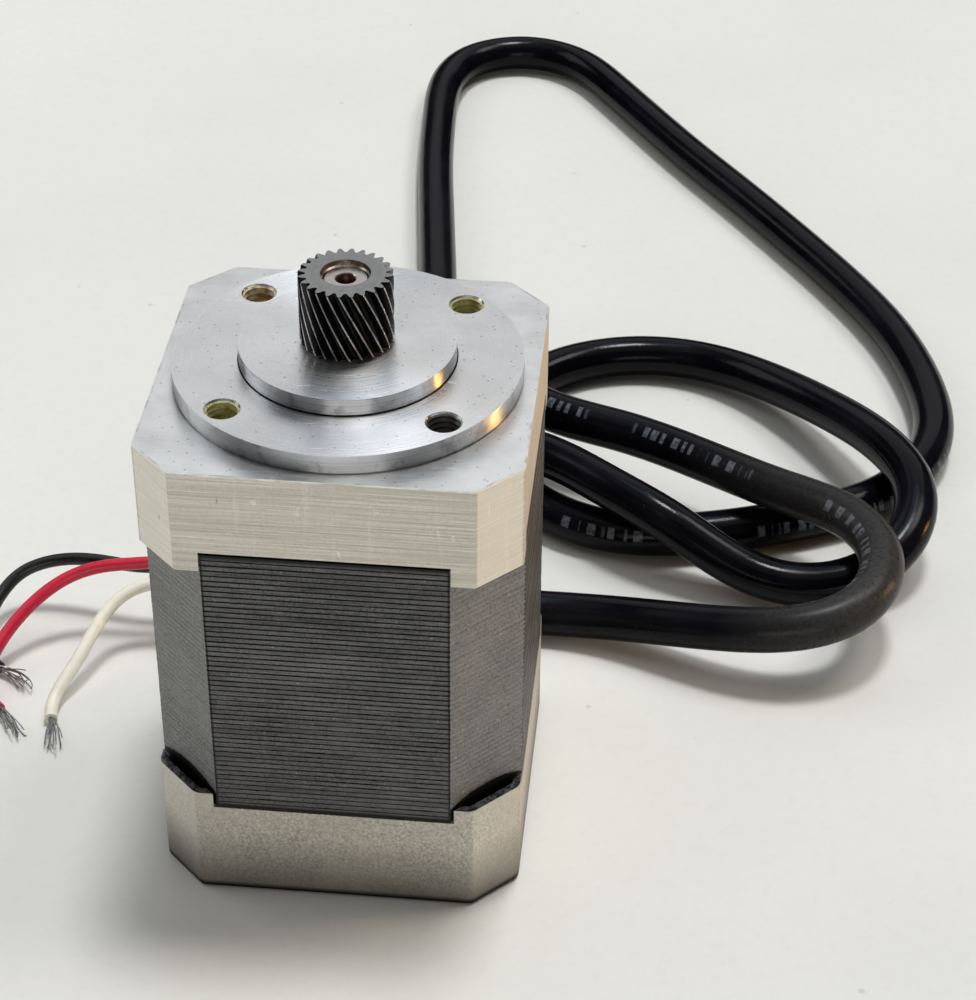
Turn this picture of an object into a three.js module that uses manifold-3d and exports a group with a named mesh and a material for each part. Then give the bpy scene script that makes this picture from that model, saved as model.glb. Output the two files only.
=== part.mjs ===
// A 42 mm frame hybrid stepper motor with a helical pinion on its shaft and a
// jacketed three-core lead. Millimetres, +Z up along the shaft. The origin is
// the centre of the underside of the rear cover; the lead leaves towards +Y.

import * as THREE from 'three';
import { mergeVertices } from 'three/addons/utils/BufferGeometryUtils.js';
import Module from 'manifold-3d';

const wasm = await Module();
wasm.setup();

// ---------------------------------------------------------------- dimensions

const GAP = 0.3;                 // clearance between touching pieces
const FRAME = 42.3;              // side of the square frame
const HALF = FRAME / 2;

const REAR_SEAT_Z = 12.9;        // rear cover meets the stator
const REAR_EAR_Z = 14.95;        // top of the rear cover's corner ears
const FRONT_EAR_Z = 47.4;        // lower tip of the front cover's ears
const FRONT_SEAT_Z = 49.85;      // front cover meets the stator
const FRONT_TOP_Z = 60.15;       // top of the square flange
const LARGE_BOSS_R = 19.55;
const LARGE_BOSS_H = 2.3;
const SMALL_BOSS_R = 12.1;
const SMALL_BOSS_H = 2.1;
const BOSS_Z = FRONT_TOP_Z + LARGE_BOSS_H;
const NOSE_Z = BOSS_Z + SMALL_BOSS_H;

const FRONT_CORNER_LEG = 4.83;
const REAR_CORNER_LEG = 5.05;
const REAR_EAR_WALL = 0.92;      // thickness of the rear cover's corner ears
const STATOR_CORNER_LEG = 7.6;

const TAPPED_PITCH = 23.94;      // square pattern on the large boss
const TAPPED_R = 1.8;
const TAPPED_SINK_R = 2.0;
const TAPPED_DEPTH = 7.4;
const SCREW_PITCH = 31;          // standard corner screw pattern of this frame
const SCREW_R = 1.5;
const SCREW_HEAD_R = 2.75;
const SCREW_HEAD_H = 3;
const SCREW_HEAD_Z = 0.3;
const SCREW_TIP_Z = 56.5;
const SCREW_SOCKET_AF = 2.5;
const SCREW_SOCKET_DEPTH = 1.6;

const CAVITY_R = 18.3;
const REAR_LEDGE_R = 16.6;
const REAR_LEDGE_Z = 6.9;
const REAR_FLOOR_Z = 2.6;
const REAR_HUB_R = 10.3;         // wall around the rear bearing
const FRONT_CEILING_Z = 53.85;
const NOSE_BORE_R = 4.2;         // shaft opening in the front cover

const SHAFT_R = 2.5;
const SHAFT_BOTTOM_Z = 2.9;
const SHAFT_TOP_Z = 72.35;
const CENTRE_HOLE_R = 1.15;
const BORE_R = SHAFT_R + GAP;

const BEARING_R = 8;
const BEARING_W = 5;
const BALL_R = 1.4;
const BALL_PITCH_R = 5.3;
const BALL_COUNT = 7;
const OUTER_SHOULDER_R = 6.5;
const INNER_SHOULDER_R = 4.1;
const CAGE_RADII = [4.7, 5.9];
const SHIELD_RADII = [4.4, 6.25];
const SHIELD_OFFSET = 2.3;       // from the middle of the bearing
const WASHER_RADII = [6.2, 7.9];
const WASHER_WAVE = 0.2;
const SHEET_HALF = 0.12;         // half the thickness of shields and washer
const REAR_BEARING_Z = 3.6;
const FRONT_BEARING_Z = 53.95;

const ROTOR_TEETH = 50;
const ROTOR_R = 12.7;
const ROTOR_ROOT_R = 12.0;
const CUP_LENGTH = 16.3;
const MAGNET_LENGTH = 2.6;
const ROTOR_BOTTOM_Z = 13.5;

const POLES = 6;
const TEETH_PER_POLE = 7;
const STATOR_BORE_R = ROTOR_R + GAP;
const STATOR_ROOT_R = 13.6;
const SHOE_BACK_R = 14.6;
const SLOT_R = 17.9;
const POLE_HALF = 2.5;
const STATOR_TOOTH_HALF = 1.7;   // degrees

const COIL_CLEARANCE = 0.9;      // pole to winding
const COIL_SIDE = 1.9;           // winding thickness beside the pole
const COIL_END = 2.2;            // winding thickness above and below it
const COIL_CORNER = 1.2;
const COIL_INNER_X = 14.9;
const COIL_DEPTH = 1.6;          // radial
const INSULATOR_RIM = [17.75, 18.05, 3];   // inner and outer radius, height
const ARM_HEIGHT = 0.8;          // of the insulator, over the poles
const LIP_HEIGHT = 3.2;          // of the insulator, behind the bore
const BOARD_RADII = [11.2, 17.9];
const BOARD_TOP_Z = 8.2;
const PAD_Y = 15.3;

const PINION_TEETH = 24;
const PINION_TIP_R = 5.25;
const PINION_ROOT_R = 4.42;
const PINION_BOTTOM_Z = NOSE_Z + GAP;
const PINION_TOP_Z = 73.05;
const PINION_HELIX = THREE.MathUtils.degToRad(23);   // left-hand

const CABLE_R = 3;
const CABLE_EXIT_Z = 6.2;
const LEAD_R = 0.85;
const CORE_R = 0.42;
const CABLE_HOLE_R = 4.5;
const GROMMET_BODY_R = 4.2;
const GROMMET_FLANGE_R = 5.4;
const GROMMET_INNER_Y = 18.4;
const GROMMET_TIP_Y = 27.5;

// ------------------------------------------------------------ free lead route

// Control points of smooth curves. The lead leaves the rear cover, lies on the
// bench in three loose turns laid over each other, and ends behind the motor.
const CABLE_ROUTE = [
  [0, 19, 6.2], [0, 27, 6.2], [0, 36, 5.2], [-1, 46, 3.6], [-1, 58, 3.1], [-1, 74, 3.1],
  [-2, 90, 3.1], [-2, 106, 3.1], [-4, 122, 3.1], [-6, 138, 3.1], [-8, 154, 3.1], [-9, 169, 3.1],
  [-10, 184, 3.1], [-6, 194, 3.1], [4.5, 198.5, 3.1], [15, 194, 3.1], [21, 184.5, 3.1],
  [28, 173, 3.1], [36, 160, 3.1], [45, 147, 3.1], [54, 133, 3.1], [62, 120, 3.1],
  [69, 107, 3.1], [73, 94, 3.1], [75, 81, 3.1], [72, 69, 3.1], [64, 60, 3.1], [53, 55, 3.1],
  [42, 51, 3.1], [30, 49, 3.1], [19, 53, 3.1], [11, 63, 3.1], [9, 76, 3.1], [14, 89, 3.1],
  [26, 96, 3.1], [39, 96, 3.2], [50, 89, 4.2], [59, 78, 6.8], [66, 67, 9.5], [71, 56, 9.5],
  [69, 46, 6.6], [61, 40, 4], [51, 40, 3.1], [43, 43, 5.4], [36, 46, 9], [28, 51, 9.8],
  [19, 59, 9.6], [9, 62, 9.5], [-1, 59.5, 9.6], [-12, 58.5, 8.6], [-21, 64.5, 6.8],
  [-23.5, 74, 6.2], [-20, 83.5, 7], [-10, 88, 9], [1, 85, 9.6], [10, 76.5, 9.6],
  [18.5, 68.5, 9.5], [29, 66, 9.5], [40, 60, 9.5], [51, 52.5, 10], [61, 47, 11.2],
  [66, 37, 11.2], [62.5, 27, 10], [53, 23, 8.8], [42, 25.5, 6.8], [32, 29.5, 4.2],
  [24, 31, 3.1], [17, 31, 3.1],
];

const LEAD_ROUTES = {
  black: [
    [16.4, 32.2, 2.5], [9, 33.4, 5.4], [1, 33.8, 10.2], [-9, 33, 10.6], [-20, 31, 9.4],
    [-32, 28.4, 8], [-38, 30, 8], [-44, 31, 7.4], [-49.5, 30, 6], [-52, 27, 4.2],
    [-53.5, 22, 2.2], [-52, 17, 1], [-49.6, 14.8, 0.95],
  ],
  red: [
    [16.4, 31, 4.2], [9, 31.4, 7.4], [1, 31.4, 11], [-9, 30.4, 12], [-20, 28.6, 11.4],
    [-31.5, 26.8, 10.5], [-38, 26.8, 9.8], [-43, 25.2, 8.4], [-47, 21.5, 6.2],
    [-49.8, 17.2, 3.8], [-51, 12.6, 1.9], [-49.8, 8.8, 1], [-47.6, 6.7, 0.95],
  ],
  white: [
    [16.4, 29.8, 2.5], [9, 29.4, 5.6], [1, 28.8, 10.4], [-9, 27.6, 11.2], [-20, 26, 10.4],
    [-30, 25, 9.2], [-35, 23.6, 7.8], [-37.4, 18.6, 5.8], [-38.8, 14, 3.6],
    [-40.8, 10.4, 1.8], [-41.1, 7.6, 1], [-40.6, 5.6, 0.95],
  ],
};

const STRAND_ROUTES = {
  black: [[-49.1, 14.6, 0.9], [-47.6, 14.2, 0.6], [-46.2, 13.3, 0.5], [-45, 11.8, 0.5]],
  red: [[-47.1, 6.4, 0.9], [-45.9, 5.2, 0.6], [-44.9, 3.8, 0.5], [-44.2, 2.2, 0.5]],
  white: [[-40.5, 5.1, 0.9], [-40.2, 3.7, 0.7], [-39.8, 2, 0.5], [-39.4, 0.2, 0.5]],
};

// Short leads inside the rear cover, from the lead's end up to the board.
const INNER_LEAD_X = { black: -2, red: 0, white: 2 };

// ------------------------------------------------------------------ materials

function finish(color, roughness, metalness) {
  return new THREE.MeshStandardMaterial({ color, roughness, metalness });
}

const MATERIALS = {
  machined: finish(0xc4c6c8, 0.38, 1),
  cast: finish(0xa9a59c, 0.6, 1),
  laminated: finish(0x3a3b3e, 0.6, 0.5),
  silicon: finish(0x55565a, 0.5, 0.8),
  ground: finish(0xb9babc, 0.25, 1),
  blackened: finish(0x1d1d20, 0.4, 0.8),
  plated: finish(0x8d8f93, 0.3, 1),
  magnet: finish(0x5b5c60, 0.4, 0.9),
  bearing: finish(0xc9cacc, 0.2, 1),
  spacer: finish(0xb3955a, 0.35, 1),
  screw: finish(0x2a2a2c, 0.45, 0.8),
  spring: finish(0x8a8c90, 0.35, 1),
  insulator: finish(0x20211f, 0.6, 0),
  copper: finish(0xa6562a, 0.35, 0.9),
  board: finish(0x1f5a36, 0.5, 0),
  rubber: finish(0x17181a, 0.7, 0),
  jacket: finish(0x141519, 0.42, 0),
  black: finish(0x16171a, 0.45, 0),
  red: finish(0xa5122c, 0.45, 0),
  white: finish(0xe6e1d2, 0.5, 0),
  tinned: finish(0x8f9496, 0.35, 1),
};

// -------------------------------------------------------------- solid helpers

function toManifold(geometry) {
  const bare = geometry.index ? geometry.toNonIndexed() : geometry.clone();
  bare.deleteAttribute('normal');
  bare.deleteAttribute('uv');
  const merged = mergeVertices(bare, 1e-5);
  return new wasm.Manifold(new wasm.Mesh({
    numProp: 3,
    vertProperties: new Float32Array(merged.attributes.position.array),
    triVerts: new Uint32Array(merged.index.array),
  }));
}

function toGeometry(solid) {
  const mesh = solid.getMesh();
  const geometry = new THREE.BufferGeometry();
  geometry.setAttribute('position', new THREE.BufferAttribute(mesh.vertProperties, 3));
  geometry.setIndex(new THREE.BufferAttribute(mesh.triVerts, 1));
  return geometry;
}

function combine(base, added, removed) {
  let solid = toManifold(base);
  added.forEach((geometry) => { solid = solid.add(toManifold(geometry)); });
  removed.forEach((geometry) => { solid = solid.subtract(toManifold(geometry)); });
  return toGeometry(solid);
}

function extrude(shape, z0, z1, steps = 1) {
  const geometry = new THREE.ExtrudeGeometry(shape, {
    depth: z1 - z0, steps, bevelEnabled: false, curveSegments: 9,
  });
  return geometry.translate(0, 0, z0);
}

// A solid of revolution about Z from a closed profile of [radius, z] points.
function revolve(profile, segments = 24) {
  const points = profile.map(([r, z]) => new THREE.Vector2(r, z));
  points.push(points[0].clone());
  return new THREE.LatheGeometry(points, segments).rotateX(Math.PI / 2);
}

function ring(rIn, rOut, z0, z1, segments = 24) {
  return revolve([[rIn, z0], [rOut, z0], [rOut, z1], [rIn, z1]], segments);
}

function disc(r, z0, z1, segments = 24) {
  const geometry = new THREE.CylinderGeometry(r, r, z1 - z0, segments);
  return geometry.rotateX(Math.PI / 2).translate(0, 0, (z0 + z1) / 2);
}

function cone(r0, r1, z0, z1, segments = 24) {
  const geometry = new THREE.CylinderGeometry(r1, r0, z1 - z0, segments);
  return geometry.rotateX(Math.PI / 2).translate(0, 0, (z0 + z1) / 2);
}

// A block that stands on Z = 0, its middle at x = atX.
function block(x, y, height, atX = 0) {
  return new THREE.BoxGeometry(x, y, height).translate(atX, 0, height / 2);
}

function polar(r, degrees) {
  const angle = THREE.MathUtils.degToRad(degrees);
  return new THREE.Vector2(r * Math.cos(angle), r * Math.sin(angle));
}

function squareCorners(pitch) {
  const a = pitch / 2;
  return [[a, a], [-a, a], [-a, -a], [a, -a]];
}

// A square with its corners cut at 45 degrees.
function cornerCutSquare(half, leg) {
  const near = half - leg;
  const points = [
    [near, -half], [half, -near], [half, near], [near, half],
    [-near, half], [-half, near], [-half, -near], [-near, -half],
  ];
  return new THREE.Shape(points.map(([x, y]) => new THREE.Vector2(x, y)));
}

// A uniform cubic B-spline that starts and ends on its end points.
class SplineCurve extends THREE.Curve {
  constructor(points) {
    super();
    const list = points.map((p) => new THREE.Vector3(...p));
    const first = list[0];
    const last = list[list.length - 1];
    this.points = [first, first, ...list, last, last];
  }

  getPoint(t, target = new THREE.Vector3()) {
    const spans = this.points.length - 3;
    const at = Math.min(t * spans, spans - 1e-9);
    const i = Math.floor(at);
    const u = at - i;
    const v = 1 - u;
    const weights = [
      v ** 3 / 6,
      (3 * u ** 3 - 6 * u ** 2 + 4) / 6,
      (3 * v ** 3 - 6 * v ** 2 + 4) / 6,
      u ** 3 / 6,
    ];
    target.set(0, 0, 0);
    weights.forEach((weight, k) => target.addScaledVector(this.points[i + k], weight));
    return target;
  }

  // Steps follow the control points, which stand closer together in the bends.
  getPointAt(t, target) {
    return this.getPoint(t, target);
  }

  getTangentAt(t, target) {
    return this.getTangent(t, target);
  }
}

function tube(route, radius, sides, steps) {
  const section = new THREE.Shape();
  for (let i = 0; i < sides; i += 1) {
    const point = polar(radius, (360 * (i + 0.5)) / sides);
    if (i === 0) section.moveTo(point.x, point.y);
    else section.lineTo(point.x, point.y);
  }
  section.closePath();
  return new THREE.ExtrudeGeometry(section, {
    extrudePath: new SplineCurve(route), steps, bevelEnabled: false,
  });
}

// --------------------------------------------------------------- front cover

function frontCover() {
  const plate = extrude(cornerCutSquare(HALF, FRONT_CORNER_LEG), FRONT_EAR_Z, FRONT_TOP_Z);
  const bosses = [
    disc(LARGE_BOSS_R, FRONT_TOP_Z - 1, BOSS_Z, 48),
    disc(SMALL_BOSS_R, FRONT_TOP_Z - 1, NOSE_Z, 36),
  ];
  const earLeg = STATOR_CORNER_LEG - GAP;
  const cuts = [
    extrude(cornerCutSquare(HALF + GAP, earLeg), FRONT_EAR_Z - 1, FRONT_SEAT_Z),
    disc(CAVITY_R, FRONT_EAR_Z, FRONT_CEILING_Z, 36),
    disc(BEARING_R + GAP, FRONT_CEILING_Z - 1, FRONT_BEARING_Z + BEARING_W + GAP),
    disc(NOSE_BORE_R, FRONT_CEILING_Z, NOSE_Z + 1, 16),
  ];
  squareCorners(TAPPED_PITCH).forEach(([x, y]) => {
    cuts.push(disc(TAPPED_R, BOSS_Z - TAPPED_DEPTH, BOSS_Z + 1, 12).translate(x, y, 0));
    cuts.push(cone(TAPPED_R, TAPPED_SINK_R + 0.2, BOSS_Z - 0.2, BOSS_Z + 0.2, 12).translate(x, y, 0));
  });
  squareCorners(SCREW_PITCH).forEach(([x, y]) => {
    cuts.push(disc(SCREW_R + GAP, FRONT_EAR_Z - 1, SCREW_TIP_Z + 0.5, 10).translate(x, y, 0));
  });
  return combine(plate, bosses, cuts);
}

// ---------------------------------------------------------------- rear cover

function rearCover() {
  const shell = extrude(cornerCutSquare(HALF, REAR_CORNER_LEG), 0, REAR_EAR_Z);
  const pocketLeg = REAR_CORNER_LEG - (2 - Math.SQRT2) * REAR_EAR_WALL;
  const pockets = cornerCutSquare(HALF - REAR_EAR_WALL, pocketLeg);
  const stackSpace = cornerCutSquare(HALF + 1, STATOR_CORNER_LEG + 2 - Math.SQRT2 * GAP);
  const cuts = [
    extrude(pockets, REAR_SEAT_Z, REAR_EAR_Z + 1),
    extrude(stackSpace, REAR_SEAT_Z, REAR_EAR_Z + 1),
    disc(CAVITY_R, REAR_LEDGE_Z, REAR_EAR_Z, 36),
    ring(REAR_HUB_R, REAR_LEDGE_R, REAR_FLOOR_Z, REAR_LEDGE_Z + 1, 32),
    disc(BEARING_R + GAP, REAR_FLOOR_Z, REAR_EAR_Z),
    disc(CABLE_HOLE_R, 15.5, HALF + 1, 16).rotateX(-Math.PI / 2).translate(0, 0, CABLE_EXIT_Z),
  ];
  squareCorners(SCREW_PITCH).forEach(([x, y]) => {
    cuts.push(disc(SCREW_R + GAP, -1, REAR_EAR_Z + 1, 10).translate(x, y, 0));
    const seat = SCREW_HEAD_Z + SCREW_HEAD_H + GAP;
    cuts.push(disc(SCREW_HEAD_R + 0.35, -1, seat, 16).translate(x, y, 0));
  });
  return combine(shell, [], cuts);
}

// -------------------------------------------------------------------- stator

// Bore, toothed pole shoes and winding slots as one closed outline.
function statorOpening() {
  const points = [];
  const pitch = 360 / ROTOR_TEETH;
  const half = ((TEETH_PER_POLE - 1) / 2) * pitch + STATOR_TOOTH_HALF;
  for (let pole = 0; pole < POLES; pole += 1) {
    const centre = (360 / POLES) * pole;
    for (let k = 0; k < TEETH_PER_POLE; k += 1) {
      const tooth = centre + (k - (TEETH_PER_POLE - 1) / 2) * pitch;
      const [from, to] = [tooth - STATOR_TOOTH_HALF, tooth + STATOR_TOOTH_HALF];
      if (k > 0) points.push(polar(STATOR_ROOT_R, from));
      points.push(polar(STATOR_BORE_R, from));
      points.push(polar(STATOR_BORE_R, to));
      if (k < TEETH_PER_POLE - 1) points.push(polar(STATOR_ROOT_R, to));
    }
    const bodyEdge = THREE.MathUtils.radToDeg(Math.asin(POLE_HALF / SHOE_BACK_R));
    const slotEdge = THREE.MathUtils.radToDeg(Math.asin(POLE_HALF / SLOT_R));
    points.push(polar(SHOE_BACK_R, centre + half));
    points.push(polar(SHOE_BACK_R, centre + bodyEdge));
    for (let k = 0; k <= 2; k += 1) {
      points.push(polar(SLOT_R, centre + slotEdge + (k / 2) * (360 / POLES - 2 * slotEdge)));
    }
    points.push(polar(SHOE_BACK_R, centre + 360 / POLES - bodyEdge));
    points.push(polar(SHOE_BACK_R, centre + 360 / POLES - half));
  }
  return new THREE.Path(points);
}

function statorCore() {
  const shape = cornerCutSquare(HALF, STATOR_CORNER_LEG);
  shape.holes.push(statorOpening());
  squareCorners(SCREW_PITCH).forEach(([x, y]) => {
    const centre = new THREE.Vector2(x, y);
    const points = Array.from({ length: 10 }, (_, i) => polar(SCREW_R + GAP, 36 * i).add(centre));
    shape.holes.push(new THREE.Path(points));
  });
  return extrude(shape, REAR_SEAT_Z + GAP, FRONT_SEAT_Z - GAP);
}

// A moulded end frame: a rim, an arm over each pole and a lip behind the bore.
function insulator() {
  const arms = [];
  for (let pole = 0; pole < POLES; pole += 1) {
    const angle = (2 * Math.PI * pole) / POLES;
    arms.push(block(4.3, 6.2, ARM_HEIGHT, 15.75).rotateZ(angle));
    arms.push(block(0.7, 9, LIP_HEIGHT, 14.1).rotateZ(angle));
  }
  const [rimIn, rimOut, height] = INSULATOR_RIM;
  return combine(ring(rimIn, rimOut, 0, height), arms, []);
}

// One coil: a rectangular winding with cut corners around a pole.
function coil() {
  const innerX = POLE_HALF + COIL_CLEARANCE;
  const innerY = (FRONT_SEAT_Z - REAR_SEAT_Z) / 2 + ARM_HEIGHT + GAP;
  const outerX = innerX + COIL_SIDE;
  const outerY = innerY + COIL_END;
  const [nearX, nearY] = [outerX - COIL_CORNER, outerY - COIL_CORNER];
  const shape = new THREE.Shape([
    [-nearX, -outerY], [nearX, -outerY], [outerX, -nearY], [outerX, nearY],
    [nearX, outerY], [-nearX, outerY], [-outerX, nearY], [-outerX, -nearY],
  ].map(([x, y]) => new THREE.Vector2(x, y)));
  shape.holes.push(new THREE.Path([
    [-innerX, -innerY], [innerX, -innerY], [innerX, innerY], [-innerX, innerY],
  ].map(([x, y]) => new THREE.Vector2(x, y))));
  // Local X becomes tangential, local Y becomes Z, the depth runs outwards.
  const geometry = extrude(shape, 0, COIL_DEPTH).rotateX(Math.PI / 2).rotateZ(Math.PI / 2);
  return geometry.translate(COIL_INNER_X, 0, (FRONT_SEAT_Z + REAR_SEAT_Z) / 2);
}

function terminalBoard() {
  const pads = [];
  Object.values(INNER_LEAD_X).forEach((x) => {
    pads.push(disc(0.7, BOARD_TOP_Z - 0.1, BOARD_TOP_Z + 0.3, 8).translate(x, PAD_Y, 0));
  });
  return combine(ring(...BOARD_RADII, REAR_LEDGE_Z + GAP, BOARD_TOP_Z), pads, []);
}

function innerLead(x) {
  const route = [
    [x * 0.7, 18.7, CABLE_EXIT_Z], [x * 0.8, 17.6, 5.4], [x, 16.4, 4.9],
    [x, 15.4, 5.2], [x, PAD_Y, 6.2], [x, PAD_Y, REAR_LEDGE_Z],
  ];
  return tube(route, 0.5, 8, 6);
}

// --------------------------------------------------------------------- rotor

function toothedDisc(teeth, tipR, rootR, boreR, length) {
  const pitch = 360 / teeth;
  const points = [];
  for (let i = 0; i < teeth; i += 1) {
    const centre = i * pitch;
    points.push(polar(rootR, centre - pitch * 0.27), polar(tipR, centre - pitch * 0.23));
    points.push(polar(tipR, centre + pitch * 0.23), polar(rootR, centre + pitch * 0.27));
  }
  const shape = new THREE.Shape(points);
  shape.holes.push(new THREE.Path().absarc(0, 0, boreR, 0, 2 * Math.PI, true));
  return extrude(shape, 0, length);
}

function shaft() {
  const sink = 0.25;
  return revolve([
    [0, SHAFT_BOTTOM_Z], [SHAFT_R - sink, SHAFT_BOTTOM_Z], [SHAFT_R, SHAFT_BOTTOM_Z + sink],
    [SHAFT_R, SHAFT_TOP_Z - sink], [SHAFT_R - sink, SHAFT_TOP_Z],
    [CENTRE_HOLE_R, SHAFT_TOP_Z], [0.75, SHAFT_TOP_Z - 0.6], [0, SHAFT_TOP_Z - 2.4],
  ]);
}

// Tapered teeth twisted into a left-hand helix.
function helicalPinion() {
  const pitch = 360 / PINION_TEETH;
  const points = [];
  for (let i = 0; i < PINION_TEETH; i += 1) {
    const centre = i * pitch;
    points.push(polar(PINION_ROOT_R, centre - pitch * 0.37), polar(PINION_TIP_R, centre - pitch * 0.14));
    points.push(polar(PINION_TIP_R, centre + pitch * 0.14), polar(PINION_ROOT_R, centre + pitch * 0.37));
  }
  const shape = new THREE.Shape(points);
  shape.holes.push(new THREE.Path().absarc(0, 0, BORE_R, 0, 2 * Math.PI, true));
  const geometry = extrude(shape, PINION_BOTTOM_Z, PINION_TOP_Z, 4);
  const position = geometry.attributes.position;
  const turnPerMm = (2 * Math.tan(PINION_HELIX)) / (PINION_TIP_R + PINION_ROOT_R);
  const point = new THREE.Vector3();
  const axis = new THREE.Vector3(0, 0, 1);
  for (let i = 0; i < position.count; i += 1) {
    point.fromBufferAttribute(position, i);
    point.applyAxisAngle(axis, turnPerMm * (PINION_TOP_Z - point.z));
    position.setXYZ(i, point.x, point.y, point.z);
  }
  return geometry;
}

// ------------------------------------------------------------------ bearings

// Points of a ball groove, upwards, on the outer (1) or inner (-1) side of the balls.
function groove(side) {
  return [-1.2, -0.6, 0.6, 1.2].map((z) => {
    return [BALL_PITCH_R + side * Math.sqrt((BALL_R + GAP) ** 2 - z * z), z];
  });
}

function outerRace() {
  const w = BEARING_W / 2;
  const shoulder = OUTER_SHOULDER_R;
  return revolve([
    [shoulder, -w], [BEARING_R, -w], [BEARING_R, w], [shoulder, w], ...groove(1).reverse(),
  ], 20);
}

function innerRace() {
  const w = BEARING_W / 2;
  const shoulder = INNER_SHOULDER_R;
  return revolve([
    [BORE_R, -w], [shoulder, -w], ...groove(-1), [shoulder, w], [BORE_R, w],
  ], 16);
}

// A crown cage with the balls snapped into it.
function ballCage() {
  const balls = [];
  for (let i = 0; i < BALL_COUNT; i += 1) {
    const ball = new THREE.SphereGeometry(BALL_R, 6, 4);
    balls.push(ball.translate(BALL_PITCH_R, 0, 0).rotateZ((2 * Math.PI * i) / BALL_COUNT));
  }
  return combine(ring(...CAGE_RADII, 0.7, 1.8, 14), balls, []);
}

function shield() {
  return ring(...SHIELD_RADII, -SHEET_HALF, SHEET_HALF, 16);
}

function waveWasher() {
  const geometry = ring(...WASHER_RADII, -SHEET_HALF, SHEET_HALF);
  const position = geometry.attributes.position;
  for (let i = 0; i < position.count; i += 1) {
    const angle = Math.atan2(position.getY(i), position.getX(i));
    position.setZ(i, position.getZ(i) + WASHER_WAVE * Math.sin(3 * angle));
  }
  return geometry;
}

// ------------------------------------------------------- screws, lead, grommet

function throughScrew() {
  const seat = SCREW_HEAD_Z + SCREW_HEAD_H;
  const body = revolve([
    [0, SCREW_HEAD_Z], [SCREW_HEAD_R - 0.3, SCREW_HEAD_Z], [SCREW_HEAD_R, SCREW_HEAD_Z + 0.3],
    [SCREW_HEAD_R, seat], [SCREW_R, seat], [SCREW_R, SCREW_TIP_Z - 0.4],
    [SCREW_R - 0.4, SCREW_TIP_Z], [0, SCREW_TIP_Z],
  ], 12);
  const socketR = SCREW_SOCKET_AF / Math.sqrt(3);
  const socket = disc(socketR, SCREW_HEAD_Z - 1, SCREW_HEAD_Z + SCREW_SOCKET_DEPTH, 6);
  return combine(body, [], [socket]);
}

function grommet() {
  const inner = CABLE_R + GAP;
  const wall = HALF + GAP;
  const profile = [
    [inner, GROMMET_INNER_Y], [GROMMET_BODY_R, GROMMET_INNER_Y], [GROMMET_BODY_R, wall],
    [GROMMET_FLANGE_R, wall], [GROMMET_FLANGE_R, 22.6], [4.5, 22.9],
    [3.9, GROMMET_TIP_Y], [inner, GROMMET_TIP_Y],
  ];
  return revolve(profile, 16).rotateX(-Math.PI / 2).translate(0, 0, CABLE_EXIT_Z);
}

// ------------------------------------------------------------------- assembly

const motor = new THREE.Group();

function place(name, geometry, material, { at = [0, 0], z = 0, turn = 0, flip = false } = {}) {
  const mesh = new THREE.Mesh(geometry, MATERIALS[material]);
  mesh.name = name;
  mesh.position.set(at[0], at[1], z);
  mesh.rotation.z = THREE.MathUtils.degToRad(turn);
  if (flip) mesh.rotation.x = Math.PI;
  motor.add(mesh);
}

place('front_cover', frontCover(), 'machined');
place('rear_cover', rearCover(), 'cast');
squareCorners(SCREW_PITCH).forEach((at, i) => {
  place(`through_screw_${i + 1}`, throughScrew(), 'screw', { at });
});

place('stator_core', statorCore(), 'laminated');
place('front_insulator', insulator(), 'insulator', { z: FRONT_SEAT_Z });
place('rear_insulator', insulator(), 'insulator', { z: REAR_SEAT_Z, flip: true });
for (let pole = 0; pole < POLES; pole += 1) {
  place(`coil_${pole + 1}`, coil(), 'copper', { turn: (360 / POLES) * pole });
}
place('terminal_board', terminalBoard(), 'board');
Object.entries(INNER_LEAD_X).forEach(([colour, x]) => {
  place(`inner_lead_${colour}`, innerLead(x), colour);
});

place('motor_shaft', shaft(), 'ground');
place('helical_pinion', helicalPinion(), 'blackened');
const magnetZ = ROTOR_BOTTOM_Z + CUP_LENGTH + GAP;
const upperCupZ = magnetZ + MAGNET_LENGTH + GAP;
const rotorTopZ = upperCupZ + CUP_LENGTH;
const cup = toothedDisc(ROTOR_TEETH, ROTOR_R, ROTOR_ROOT_R, BORE_R, CUP_LENGTH);
place('rotor_cup_lower', cup, 'silicon', { z: ROTOR_BOTTOM_Z });
place('rotor_magnet', ring(BORE_R, 11.2, magnetZ, magnetZ + MAGNET_LENGTH), 'magnet');
place('rotor_cup_upper', cup.clone(), 'silicon', { z: upperCupZ, turn: 180 / ROTOR_TEETH });
place('front_spacer', ring(BORE_R, 3.9, rotorTopZ + GAP, FRONT_BEARING_Z - GAP, 20), 'spacer');
const rearBearingTopZ = REAR_BEARING_Z + BEARING_W;
place('rear_spacer', ring(BORE_R, 3.9, rearBearingTopZ + GAP, ROTOR_BOTTOM_Z - GAP, 20), 'spacer');

Object.entries({ front: FRONT_BEARING_Z, rear: REAR_BEARING_Z }).forEach(([side, z0]) => {
  const z = z0 + BEARING_W / 2;
  place(`${side}_bearing_outer_ring`, outerRace(), 'bearing', { z });
  place(`${side}_bearing_inner_ring`, innerRace(), 'bearing', { z });
  place(`${side}_bearing_ball_cage`, ballCage(), 'bearing', { z });
  place(`${side}_bearing_upper_shield`, shield(), 'plated', { z: z + SHIELD_OFFSET });
  place(`${side}_bearing_lower_shield`, shield(), 'plated', { z: z - SHIELD_OFFSET });
});
place('wave_washer', waveWasher(), 'spring', { z: REAR_FLOOR_Z + 0.5 });

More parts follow.
